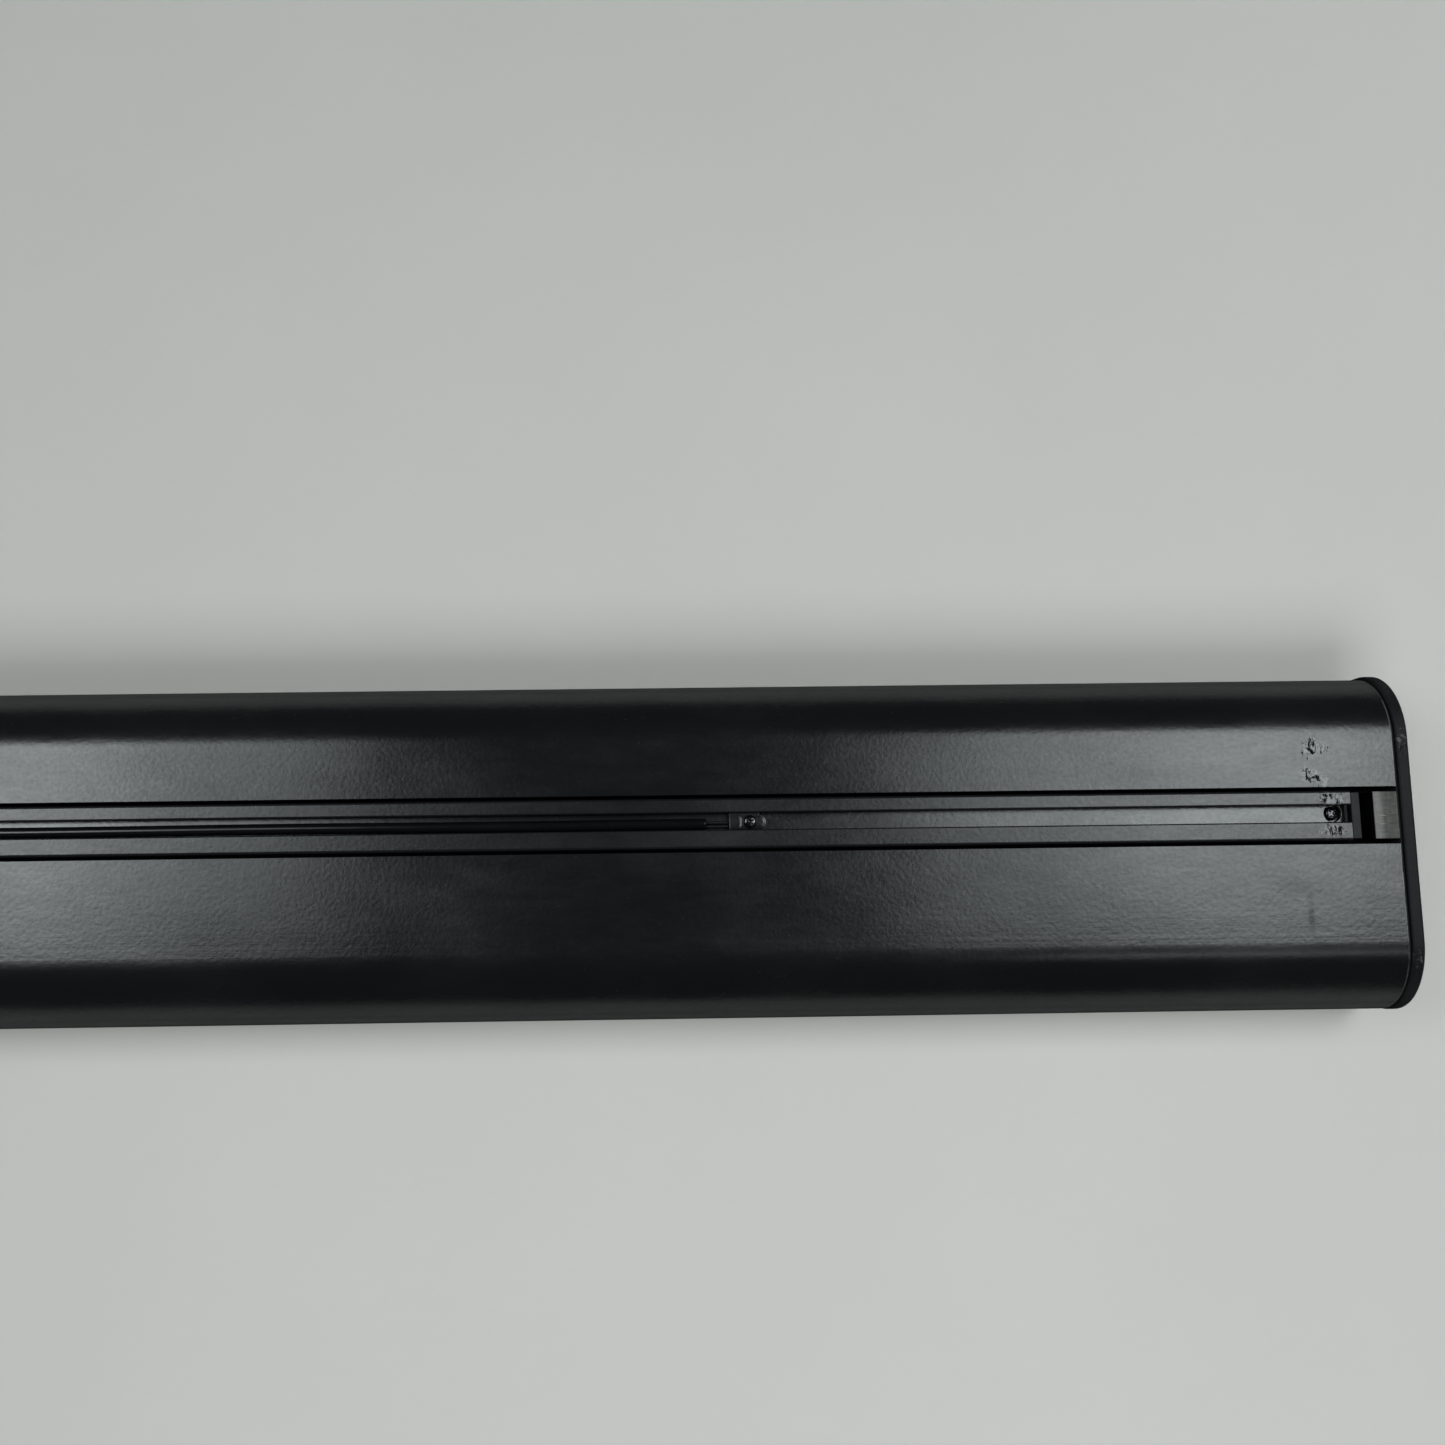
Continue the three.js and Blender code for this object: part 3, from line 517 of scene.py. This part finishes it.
finishes = {
    "housing": powderCoat(
        "powder coat with painted shade", coat, scuffs, smudges, rim=rightEnd, dieLines=0.022 * mm,
        recess=(grooveMid, 12.6 * mm, 3 * mm),
    ),
    "rail": powderCoat(
        "rail coat",
        {**coat, "roughLow": 0.25, "roughHigh": 0.31, "colour": (0.0115, 0.012, 0.013), "floorGloss": 1.35},
        railScuffs,
    ),
    "cap": powderCoat(
        "cap coat",
        matt,
        (
            ((capLow[0] + 2.5 * mm, 41 * mm, capHigh[2]), (4 * mm, 8 * mm, 8 * mm), 0.55),
            ((capLow[0] + 2.5 * mm, -50 * mm, capHigh[2] - 3 * mm), (4 * mm, 8 * mm, 9 * mm), 0.45),
        ),
    ),
    # the stop is darkened to nearly black below its top: painted shade
    "stop": plainFinish(
        "stop finish with painted shade", (0.028, 0.029, 0.031), 0.5, 0.8 * mm, 0.01 * mm, specular=0.2,
        shadedBelow=stopHigh[2] - 0.4 * mm,
    ),
    "block": scratchedMetal("worn block with painted shade", nodeBox("right_end_block")[0][0]),
    "clamp": powderCoat(
        "clamp coat", {**coat, "roughLow": 0.22, "roughHigh": 0.3, "colour": (0.0115, 0.012, 0.013)}
    ),
    "screw": plainFinish("black screw", (0.07, 0.07, 0.073), 0.15, 0.5 * mm, 0.004 * mm, metal=1.0),
    "steel": plainFinish("zinc screw", (0.5, 0.5, 0.51), 0.32, 0.5 * mm, 0.004 * mm, metal=1.0),
    "gasket": plainFinish("gasket rubber", (0.012, 0.012, 0.012), 0.8, 0.6 * mm, 0.01 * mm),
    "entry": plainFinish("entry rubber", (0.02, 0.02, 0.021), 0.62, 0.9 * mm, 0.015 * mm),
    "lead": plainFinish(
        "lead sheath", (0.006, 0.0062, 0.007), 0.16, 0.7 * mm, 0.004 * mm, stretch=(0.25, 1, 1), specular=0.28
    ),
    "core": plainFinish(
        "core insulation", (0.012, 0.014, 0.014), 0.3, 0.5 * mm, 0.006 * mm, stretch=(0.2, 1, 1)
    ),
    "opal": opalPlastic("opal diffuser"),
    "tray": plainFinish(
        "tray sheet", (0.6, 0.61, 0.62), 0.38, 0.9 * mm, 0.005 * mm, metal=0.9, tone=0.08, stretch=(0.05, 1, 1)
    ),
    "board": plainFinish("board mask", (0.78, 0.79, 0.76), 0.45, 1.2 * mm, 0.004 * mm, tone=0.06),
    "driver": plainFinish("driver case", (0.42, 0.44, 0.45), 0.55, 0.8 * mm, 0.02 * mm, tone=0.1),
    "terminal": plainFinish("terminal plastic", (0.7, 0.69, 0.62), 0.5, 0.7 * mm, 0.01 * mm, tone=0.08),
}
print("finishes ready")


# ---- housing ----
wall = 2.4 * mm
shoulder = {"radius": 29.5 * mm, "steps": 30}
foot = {"radius": 11 * mm, "steps": 12}
groove = {"width": 24 * mm, "depth": 12 * mm, "edge": 0.22 * mm}
mouthHalf = 58 * mm


def bodyOutline(low, high, grow):
    # the closed outer outline between two corners (y, z), its roundings grown with it
    shoulderRound = (shoulder["radius"] + grow, shoulder["steps"])
    footRound = (foot["radius"] + grow, foot["steps"])
    return roundedLoop(
        [
            (high[1], low[2], *footRound),
            (high[1], high[2], *shoulderRound),
            (low[1], high[2], *shoulderRound),
            (low[1], low[2], *footRound),
        ]
    )


def makeHousing():
    # one outline that runs round the outside, down into the groove, and back along the inner wall
    left = grooveMid - groove["width"] / 2
    right = grooveMid + groove["width"] / 2
    floor = top - groove["depth"]
    low = bodyLow[2]
    innerTop = top - wall
    innerSide = halfWidth - wall
    innerShoulder = (shoulder["radius"] - wall, 12)
    innerFoot = (foot["radius"] - wall, 8)
    edge = (groove["edge"], 4)
    small = (0.4 * mm, 3)  # every other corner
    loop = roundedLoop(
        [
            (mouthHalf, low, *small),
            (halfWidth, low, foot["radius"], foot["steps"]),
            (halfWidth, top, shoulder["radius"], shoulder["steps"]),
            (right, top, *edge),
            (right, floor, *small),
            (left, floor, *small),
            (left, top, *edge),
            (-halfWidth, top, shoulder["radius"], shoulder["steps"]),
            (-halfWidth, low, foot["radius"], foot["steps"]),
            (-mouthHalf, low, *small),
            (-mouthHalf, low + wall, *small),
            (-innerSide, low + wall, *innerFoot),
            (-innerSide, innerTop, *innerShoulder),
            (left - wall, innerTop, *small),
            (left - wall, floor - wall, *small),
            (right + wall, floor - wall, *small),
            (right + wall, innerTop, *small),
            (innerSide, innerTop, *innerShoulder),
            (innerSide, low + wall, *innerFoot),
            (mouthHalf, low + wall, *small),
        ]
    )
    piece = runSolid("housing_body", loop, bodyLow[0], bodyHigh[0], 0.3 * mm, finishes["housing"])
    place(piece, "batten", "powder_black", "housing")


makeHousing()
print("housing made")


# ---- slotted rail ----
slot = {"width": 7.1 * mm, "depth": 6.4 * mm, "lip": 2.2 * mm, "undercut": 12.4 * mm, "edge": 0.68 * mm}
rail = {"edge": 1.3 * mm, "leg": 3.2 * mm, "hollow": 2 * mm}
recess = {"radius": 3.6 * mm, "depth": 2.4 * mm, "edge": 0.25 * mm, "bore": 1.8 * mm}


def makeRail():
    # the outline is open along the slot's floor; the floor is a flat with the screw recesses let into it
    floor = top - slot["depth"]
    lipLow = top - slot["lip"]
    half = slot["width"] / 2
    wide = slot["undercut"] / 2
    low = railLow[2]
    leg = rail["leg"]
    hollowTop = low + rail["hollow"]
    edge = (slot["edge"], 5)
    outer = (rail["edge"], 7)
    small = (0.25 * mm, 3)
    loop = roundedLoop(
        [
            (slotMid + wide, floor, *small),
            (slotMid + wide, lipLow, *small),
            (slotMid + half, lipLow, *small),
            (slotMid + half, top, *edge),
            (railHigh[1], top, *outer),
            (railHigh[1], low, *small),
            (railHigh[1] - leg, low, *small),
            (railHigh[1] - leg, hollowTop, *small),
            (railLow[1] + leg, hollowTop, *small),
            (railLow[1] + leg, low, *small),
            (railLow[1], low, *small),
            (railLow[1], top, *outer),
            (slotMid - half, top, *edge),
            (slotMid - half, lipLow, *small),
            (slotMid - wide, lipLow, *small),
            (slotMid - wide, floor, *small),
        ]
    )
    mesh = bmesh.new()
    start, end = railLow[0], railHigh[0]
    rings = [atX(x, inset(loop, amount)) for x, amount in endStations(start, end, 0.2 * mm)]
    rows = [[mesh.verts.new(point) for point in ring] for ring in rings]
    count = len(loop)
    for near, far in zip(rows, rows[1:]):
        for i in range(count - 1):
            mesh.faces.new((near[i], near[i + 1], far[i + 1], far[i]))
    fillPlane(mesh, [rows[0]], (-1, 0, 0))
    fillPlane(mesh, [rows[-1]], (1, 0, 0))
    rounded = roundSteps + 2
    for near, far in [*zip(rows[:rounded], rows[1:]), *zip(rows[-rounded - 1 :], rows[-rounded:])]:
        mesh.faces.new((near[-1], near[0], far[0], far[-1]))
    level = rows[rounded:-rounded]
    border = [row[0] for row in level] + [row[-1] for row in reversed(level)]
    holes = []
    for number in range(1, 4):
        screwLow, screwHigh = nodeBox(f"rail_screw_{number}")
        x = (screwLow[0] + screwHigh[0]) / 2
        y = (screwLow[1] + screwHigh[1]) / 2
        profile = [
            (floor, recess["radius"] + recess["edge"] + support),
            (floor, recess["radius"] + recess["edge"]),
            (floor - 0.08 * mm, recess["radius"] + 0.08 * mm),
            (floor - recess["edge"], recess["radius"]),
            (floor - recess["depth"], recess["radius"]),
            (floor - recess["depth"], recess["bore"]),
            (hollowTop, recess["bore"]),
        ]
        upper, lower = addRings(mesh, [atZ(level, circle(x, y, radius)) for level, radius in profile])
        holes.append(upper)
        mesh.faces.new(lower)
    fillPlane(mesh, [border, *holes], (0, 0, 1))
    piece = finishMesh(mesh, "rail_body", finishes["rail"])
    place(piece, "batten", "rail_black", "slot_rail")


makeRail()


def roundedBlock(name, node, edge, material, slotName):
    low, high = nodeBox(node)
    corners = [
        (low[1], low[2], edge, 4),
        (high[1], low[2], edge, 4),
        (high[1], high[2], edge, 4),
        (low[1], high[2], edge, 4),
    ]
    piece = runSolid(name, roundedLoop(corners), low[0], high[0], edge, material)
    place(piece, "batten", slotName, node)


roundedBlock("rail_stop_bar", "rail_stop", 0.35 * mm, finishes["stop"], "rail_black")
roundedBlock("right_block", "right_end_block", 0.3 * mm, finishes["block"], "bare_metal")
roundedBlock("left_block", "left_end_block", 0.3 * mm, finishes["block"], "bare_metal")
print("rail and end blocks made")


# ---- screws ----
screwShape = {
    "fall": 0.32,       # how far the dome falls, as a share of its height, before its rounded rim
    "rimStart": 0.72,   # share of the radius where the rim's rounding starts
    "armWidth": 0.11,   # half width of the cross's arms, as a share of the head's radius
    "armLength": 0.62,
    "armDepth": 0.62,   # share of the head's height
    "bowl": 0.26,       # radius of the round middle of the cross
}


def makeScrew(name, node, seat, headRadius, headHeight, shankRadius, tip, axis, turn, body):
    # the head is a dome over radius and angle, less a cross whose arms taper to the dome's rim
    look = screwShape
    low, high = nodeBox(node)
    centre = (low + high) / 2
    radii = np.linspace(0.02, 1, 26)
    angle = np.linspace(0, 2 * np.pi, 96, endpoint=False)
    r, a = np.meshgrid(radii, angle, indexing="ij")
    edge = np.clip((r - look["rimStart"]) / (1 - look["rimStart"]), 0, 1)
    dome = 1 - look["fall"] * r**2 - (1 - look["fall"]) * edge**2.2
    across = np.minimum(np.abs(np.sin(a - turn)), np.abs(np.cos(a - turn))) * r
    arm = look["armWidth"] * (1 - 0.25 * r)
    inside = np.clip((arm - across) / 0.05 + 0.5, 0, 1) * np.clip((look["armLength"] - r) / 0.06, 0, 1)
    bowl = np.clip((look["bowl"] - r) / 0.08, 0, 1)
    cutDepth = look["armDepth"] * np.maximum(inside, bowl) * (1 - 0.35 * r)
    height = headHeight * (dome - cutDepth)
    x = headRadius * r * np.cos(a)
    y = headRadius * r * np.sin(a)
    rings = [np.column_stack([x[i], y[i], height[i]]) for i in range(len(radii))]
    skirt = [
        (headRadius * 1.0, 0.0),
        (headRadius * 0.985, -0.02 * headHeight),
        (shankRadius, -0.02 * headHeight),
        (shankRadius, -tip + shankRadius * 0.5),
        (shankRadius * 0.6, -tip),
    ]
    for radius, level in skirt:
        rings.append(np.column_stack([radius * np.cos(angle), radius * np.sin(angle), np.full(96, level)]))
    mesh = bmesh.new()
    first, last = addRings(mesh, rings)
    mesh.faces.new(first)
    mesh.faces.new(last)
    if axis == "z":
        frameOfScrew = Matrix.Translation((centre[0], centre[1], seat))
    else:
        side = math.copysign(math.pi / 2, seat)
        frameOfScrew = Matrix.Translation((seat, centre[1], centre[2])) @ Matrix.Rotation(side, 4, "Y")
    mesh.transform(frameOfScrew)
    piece = finishMesh(mesh, name, finishes["screw"], 50)
    place(piece, body, "screw_black", node)


screwSizes = {
    # head radius, head height, shank radius, length below the head
    "rail": (3 * mm, 1.8 * mm, 1.5 * mm, 9 * mm),
    "clamp": (2.8 * mm, 1.7 * mm, 1.4 * mm, 5.8 * mm),
    "cap": (2.9 * mm, 1.7 * mm, 1.4 * mm, 17 * mm),
}
sunkSeat = top - slot["depth"] - 2.1 * mm
clampSeat = plateHigh[2] + 0.28 * mm
capFace = capHigh[0]
capSeat = capFace - 1.9 * mm
for number in range(1, 4):
    node = f"rail_screw_{number}"
    turn = 0.35 + 0.5 * number
    makeScrew(f"rail_screw_head_{number}", node, sunkSeat, *screwSizes["rail"], "z", turn, "batten")
makeScrew("entry_screw_head", "entry_block_screw", sunkSeat, *screwSizes["rail"], "z", 1.1, "batten")
makeScrew("clamp_screw_head", "clamp_screw", clampSeat, *screwSizes["clamp"], "z", 0.5, "slot_clamp")
for sideName, side in (("left", -1), ("right", 1)):
    for number in range(1, 5):
        name = f"{sideName}_cap_screw_head_{number}"
        node = f"{sideName}_cap_screw_{number}"
        makeScrew(name, node, side * capSeat, *screwSizes["cap"], "x", 0.7 * number, "batten")
print("screws made")


# ---- end caps and gaskets ----
capShape = {"bore": 1.7 * mm, "sink": 3.2 * mm, "sinkDepth": 2.1 * mm, "edge": 1.1 * mm}


def makeCaps():
    bore, sink, sinkDepth = capShape["bore"], capShape["sink"], capShape["sinkDepth"]
    outline = bodyOutline(capLow, capHigh, capHigh[2] - top)
    seal = bodyOutline(gasketLow, gasketHigh, gasketHigh[2] - top)
    thick = gasketHigh[0] - gasketLow[0]
    for sideName, side in (("left", -1), ("right", 1)):
        bores = []
        for number in range(1, 5):
            low, high = nodeBox(f"{sideName}_cap_screw_{number}")
            y, z = (low[1] + high[1]) / 2, (low[2] + high[2]) / 2
            profile = [
                (capLow[0], bore),
                (capFace - sinkDepth, bore),
                (capFace - sinkDepth, sink),
                (capFace - 0.25 * mm, sink),
                (capFace, sink + 0.25 * mm),
                (capFace, sink + 0.25 * mm + support),
            ]
            if side < 0:
                profile = [(-x, radius) for x, radius in reversed(profile)]
            bores.append((y, z, profile))
        start, end = sorted((side * capLow[0], side * capFace))
        cap = runSolid(f"{sideName}_cap_plate", outline, start, end, capShape["edge"], finishes["cap"], bores)
        place(cap, "batten", "cap_black", f"{sideName}_cap")
        start, end = sorted((side * gasketLow[0], side * gasketHigh[0]))
        band = runSolid(f"{sideName}_gasket_band", seal, start, end, thick * 0.3, finishes["gasket"])
        place(band, "batten", "gasket_rubber", f"{sideName}_gasket")


makeCaps()
print("caps made")


# ---- lead, cores and clamp ----
def tube(name, path, radii, material, count):
    # a circle carried along the path, square to it, with its radius given at every point
    path = np.array(path)
    along = np.gradient(path, axis=0)
    along /= np.linalg.norm(along, axis=1)[:, None]
    up = np.array([0.0, 0.0, 1.0])
    sideways = np.cross(up, along)
    sideways /= np.linalg.norm(sideways, axis=1)[:, None]
    over = np.cross(along, sideways)
    turn = np.linspace(0, 2 * np.pi, count, endpoint=False)
    rings = (
        path[:, None, :]
        + np.cos(turn)[None, :, None] * sideways[:, None, :] * np.array(radii)[:, None, None]
        + np.sin(turn)[None, :, None] * over[:, None, :] * np.array(radii)[:, None, None]
    )
    mesh = bmesh.new()
    first, last = addRings(mesh, rings)
    mesh.faces.new(first)
    mesh.faces.new(last)
    return finishMesh(mesh, name, material, 50)


def makeLead():
    start, end = leadLow[0], leadHigh[0]
    lastStations = end - np.array([1.0, 0.5, 0.2, 0]) * mm
    x = np.concatenate([[start], np.arange(start + 2 * mm, end - 1.2 * mm, 3 * mm), lastStations])
    free = np.clip((x - start - 40 * mm) / (30 * mm), 0, 1) * np.clip((end - x) / (60 * mm), 0, 1)
    y = leadMid + free * 0.12 * mm * np.sin(x * 31)
    path = np.column_stack([x, y, np.full(len(x), leadLevel)])
    radii = np.full(len(x), leadRadius)
    radii[-3:] = leadRadius * np.array([0.99, 0.95, 0.84])
    place(tube("lead_sheath", path, radii, finishes["lead"], 32), "slot_clamp", "lead_sheath", "supply_lead")
    for number in (1, 2):
        low, high = nodeBox(f"lead_core_{number}")
        radius = (high[2] - low[2]) / 2
        middle = (low[1] + high[1]) / 2
        x = np.linspace(low[0] - 0.15 * mm, high[0], 24)
        t = (x - x[0]) / (x[-1] - x[0])
        bow = 0.1 * mm * np.sin(t * np.pi) * (1 if number == 1 else -1)
        path = np.column_stack([x, middle + bow * 0.2, leadLevel + bow])
        core = tube(f"core_{number}", path, np.full(24, radius), finishes["core"], 16)
        place(core, "slot_clamp", "core_insulation", f"lead_core_{number}")


def obround(low, high, amount, corner):
    # a bar whose right end is a half circle and whose left corners are rounded, drawn in by the amount
    half = (high[1] - low[1]) / 2 - amount
    middle = (high[1] + low[1]) / 2
    noseX = high[0] - (high[1] - low[1]) / 2
    left = low[0] + amount
    turn = np.linspace(-np.pi / 2, np.pi / 2, 33)
    tip = np.column_stack([noseX + half * np.cos(turn), middle + half * np.sin(turn)])
    radius = max(corner - amount, 0.15 * mm)
    bend = np.linspace(np.pi / 2, np.pi, 5)
    upper = np.column_stack(
        [left + radius + radius * np.cos(bend), middle + half - radius + radius * np.sin(bend)]
    )
    lower = upper[::-1] * (1, -1) + (0, 2 * middle)
    join = noseX - support
    return np.vstack([tip, [(join, middle + half)], upper, lower, [(join, middle - half)]])


def addStack(mesh, levels):
    # closed outlines (z, points) stood up along Z and closed at both ends
    first, last = addRings(mesh, [atZ(level, loop) for level, loop in levels])
    fillPlane(mesh, [first], (0, 0, -1))
    fillPlane(mesh, [last], (0, 0, 1))


clampShape = {"edge": 0.25 * mm, "corner": 0.6 * mm, "wingGap": 0.3 * mm}


def makeClamp():
    # a round-nosed column between the lips, with a pair of wings under them
    edge, corner = clampShape["edge"], clampShape["corner"]
    neck = (plateHigh[1] - plateLow[1]) / 2
    low, high = blockLow.copy(), blockHigh.copy()
    low[1], high[1] = neckMid - neck, neckMid + neck
    mesh = bmesh.new()
    addStack(
        mesh,
        [
            (low[2], obround(low, high, edge, corner)),
            (low[2] + edge, obround(low, high, 0, corner)),
            (high[2] - edge, obround(low, high, 0, corner)),
            (high[2] - 0.08 * mm, obround(low, high, 0.08 * mm, corner)),
            (high[2], obround(low, high, edge, corner)),
        ],
    )
    wingHigh = top - slot["lip"] - clampShape["wingGap"]
    section = roundedLoop(
        [
            (blockLow[1], blockLow[2], edge, 3),
            (blockHigh[1], blockLow[2], edge, 3),
            (blockHigh[1], wingHigh, edge, 3),
            (blockLow[1], wingHigh, edge, 3),
        ]
    )
    wingEnd = blockHigh[0] - neck
    stations = endStations(blockLow[0], wingEnd, edge)
    first, last = addRings(mesh, [atX(x, inset(section, amount)) for x, amount in stations])
    fillPlane(mesh, [first], (-1, 0, 0))
    fillPlane(mesh, [last], (1, 0, 0))
    block = finishMesh(mesh, "clamp_body", finishes["clamp"])
    place(block, "slot_clamp", "clamp_black", "clamp_block")
    base, lid = plateLow[2], plateHigh[2]
    pad = lid + 0.24 * mm
    mesh = bmesh.new()
    # (level, how far in) in millimetres: the plate's side and edge, its border, and the raised pad
    steps = [
        (base, 0.1), (base + 0.1 * mm, 0.0), (lid - 0.12 * mm, 0.0), (lid - 0.03 * mm, 0.05), (lid, 0.18),
        (lid, 0.45), (lid + 0.02 * mm, 0.52), (lid + 0.22 * mm, 1.25), (pad, 1.32), (pad, 1.6),
    ]
    addStack(mesh, [(level, obround(plateLow, plateHigh, amount * mm, 0.5 * mm)) for level, amount in steps])
    plate = finishMesh(mesh, "clamp_lid", finishes["clamp"], 50)
    place(plate, "slot_clamp", "clamp_black", "clamp_plate")


makeLead()
makeClamp()
print("lead and clamp made")


# ---- diffuser ----
cover = {"gap": 0.3 * mm, "wall": 2 * mm, "outerEdge": 1.1 * mm, "innerEdge": 0.6 * mm}


def makeDiffuser():
    # a channel with its flat face down and a flange on each side that rests on the housing's lips
    low, high = nodeBox("diffuser")
    face = mouthHalf - cover["gap"]
    inner = face - cover["wall"]
    lip = bodyLow[2] + wall + cover["gap"]
    rim = high[2]
    small = (0.3 * mm, 3)
    loop = roundedLoop(
        [
            (-face, 0.0, cover["outerEdge"], 6),
            (face, 0.0, cover["outerEdge"], 6),
            (face, lip, *small),
            (high[1], lip, *small),
            (high[1], rim, *small),
            (inner, rim, *small),
            (inner, cover["wall"], cover["innerEdge"], 4),
            (-inner, cover["wall"], cover["innerEdge"], 4),
            (-inner, rim, *small),
            (low[1], rim, *small),
            (low[1], lip, *small),
            (-face, lip, *small),
        ]
    )
    piece = runSolid("diffuser_cover", loop, low[0], high[0], 0.3 * mm, finishes["opal"])
    place(piece, "batten", "opal", "diffuser")


makeDiffuser()
print("diffuser made")


# ---- pieces that keep their frame shape ----
keptFinishes = {
    "lead_entry_block": "entry",
    "led_tray": "tray",
    "tray_grommet": "gasket",
    "led_driver": "driver",
    "driver_screw_1": "steel",
    "driver_screw_2": "steel",
    "terminal_block": "terminal",
    "inner_lead": "lead",
    "driver_input_lead": "lead",
    "driver_output_lead": "lead",
    "led_board_1": "board",
    "led_board_2": "board",
    "led_board_3": "board",
    "led_board_4": "board",
}
for name, finish in keptFinishes.items():
    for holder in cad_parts[name].material_slots:
        holder.material = finishes[finish]


# ---- floor and light ----
room = {
    "paper": (0.385, 0.37, 0.357),
    "ambient": 0.045,
    "air": (0.95, 0.98, 1.04),
    "glow": (0.93, 1.0, 1.0),
    "floorHalf": 4.0,
    "floorLevel": -0.4 * mm,
    "height": 1.56,
    # soft panels as (start x, end x, start y, end y, radiance)
    "panels": (
        (-1.32, -0.68, -0.08, 0.72, 7.2),
        (-0.68, -0.34, -0.08, 0.72, 2.8),
        (-1.32, -0.68, -0.30, -0.08, 0.3),
        (0.58, 0.88, -0.08, 0.72, 3.4),
        (0.88, 1.42, -0.08, 0.72, 6.4),
        (0.70, 1.42, -0.48, -0.08, 0.2),
        (0.78, 1.42, -0.63, -0.48, 2.4),
    ),
    "lamp": {"place": (0.25, -0.95, 1.3), "size": 0.7, "power": 19},
}


def makeFloor():
    material, tree, shader, where = startMaterial("paper")
    cloud = noise(tree, where, 3.5, 5, 0.6)
    shade = tuple(c * 0.96 for c in room["paper"])
    tree.links.new(
        blendColour(tree, ramp(tree, cloud, 0.3, 0.7), shade, room["paper"]), shader.inputs["Base Color"]
    )
    shader.inputs["Roughness"].default_value = 0.8
    half, level = room["floorHalf"], room["floorLevel"]
    data = bpy.data.meshes.new("floor")
    corners = [(-half, -half, level), (half, -half, level), (half, half, level), (-half, half, level)]
    data.from_pydata(corners, [], [(0, 1, 2, 3)])
    data.materials.append(material)
    floor = bpy.data.objects.new("floor", data)
    bpy.context.scene.collection.objects.link(floor)
    return floor


def addLight(name, spot, size, power, aim):
    data = bpy.data.lights.new(name, "AREA")
    data.shape = "RECTANGLE"
    data.size, data.size_y = size
    data.energy = power
    data.color = room["glow"]
    light = bpy.data.objects.new(name, data)
    light.location = spot
    if aim is not None:
        light.rotation_euler = (Vector(aim) - Vector(spot)).to_track_quat("-Z", "Y").to_euler()
    bpy.context.scene.collection.objects.link(light)
    return light


def makeLights(floor):
    # power = radiance x pi x area
    for number, (x0, x1, y0, y1, radiance) in enumerate(room["panels"]):
        size = (x1 - x0, y1 - y0)
        spot = ((x0 + x1) / 2, (y0 + y1) / 2, room["height"])
        addLight(f"panel {number}", spot, size, radiance * math.pi * size[0] * size[1], None)
    look = room["lamp"]
    lamp = addLight("low lamp", look["place"], (look["size"], look["size"]), look["power"], (0.25, 0, 0))
    lit = bpy.data.collections.new("lit by the low lamp")
    lit.objects.link(floor)
    lamp.light_linking.receiver_collection = lit


makeLights(makeFloor())
world = bpy.data.worlds.new("room")
world.use_nodes = True
world.node_tree.nodes["Background"].inputs["Color"].default_value = (*room["air"], 1)
world.node_tree.nodes["Background"].inputs["Strength"].default_value = room["ambient"]
bpy.context.scene.world = world
bpy.context.scene.view_settings.view_transform = "Standard"
print("room lit")
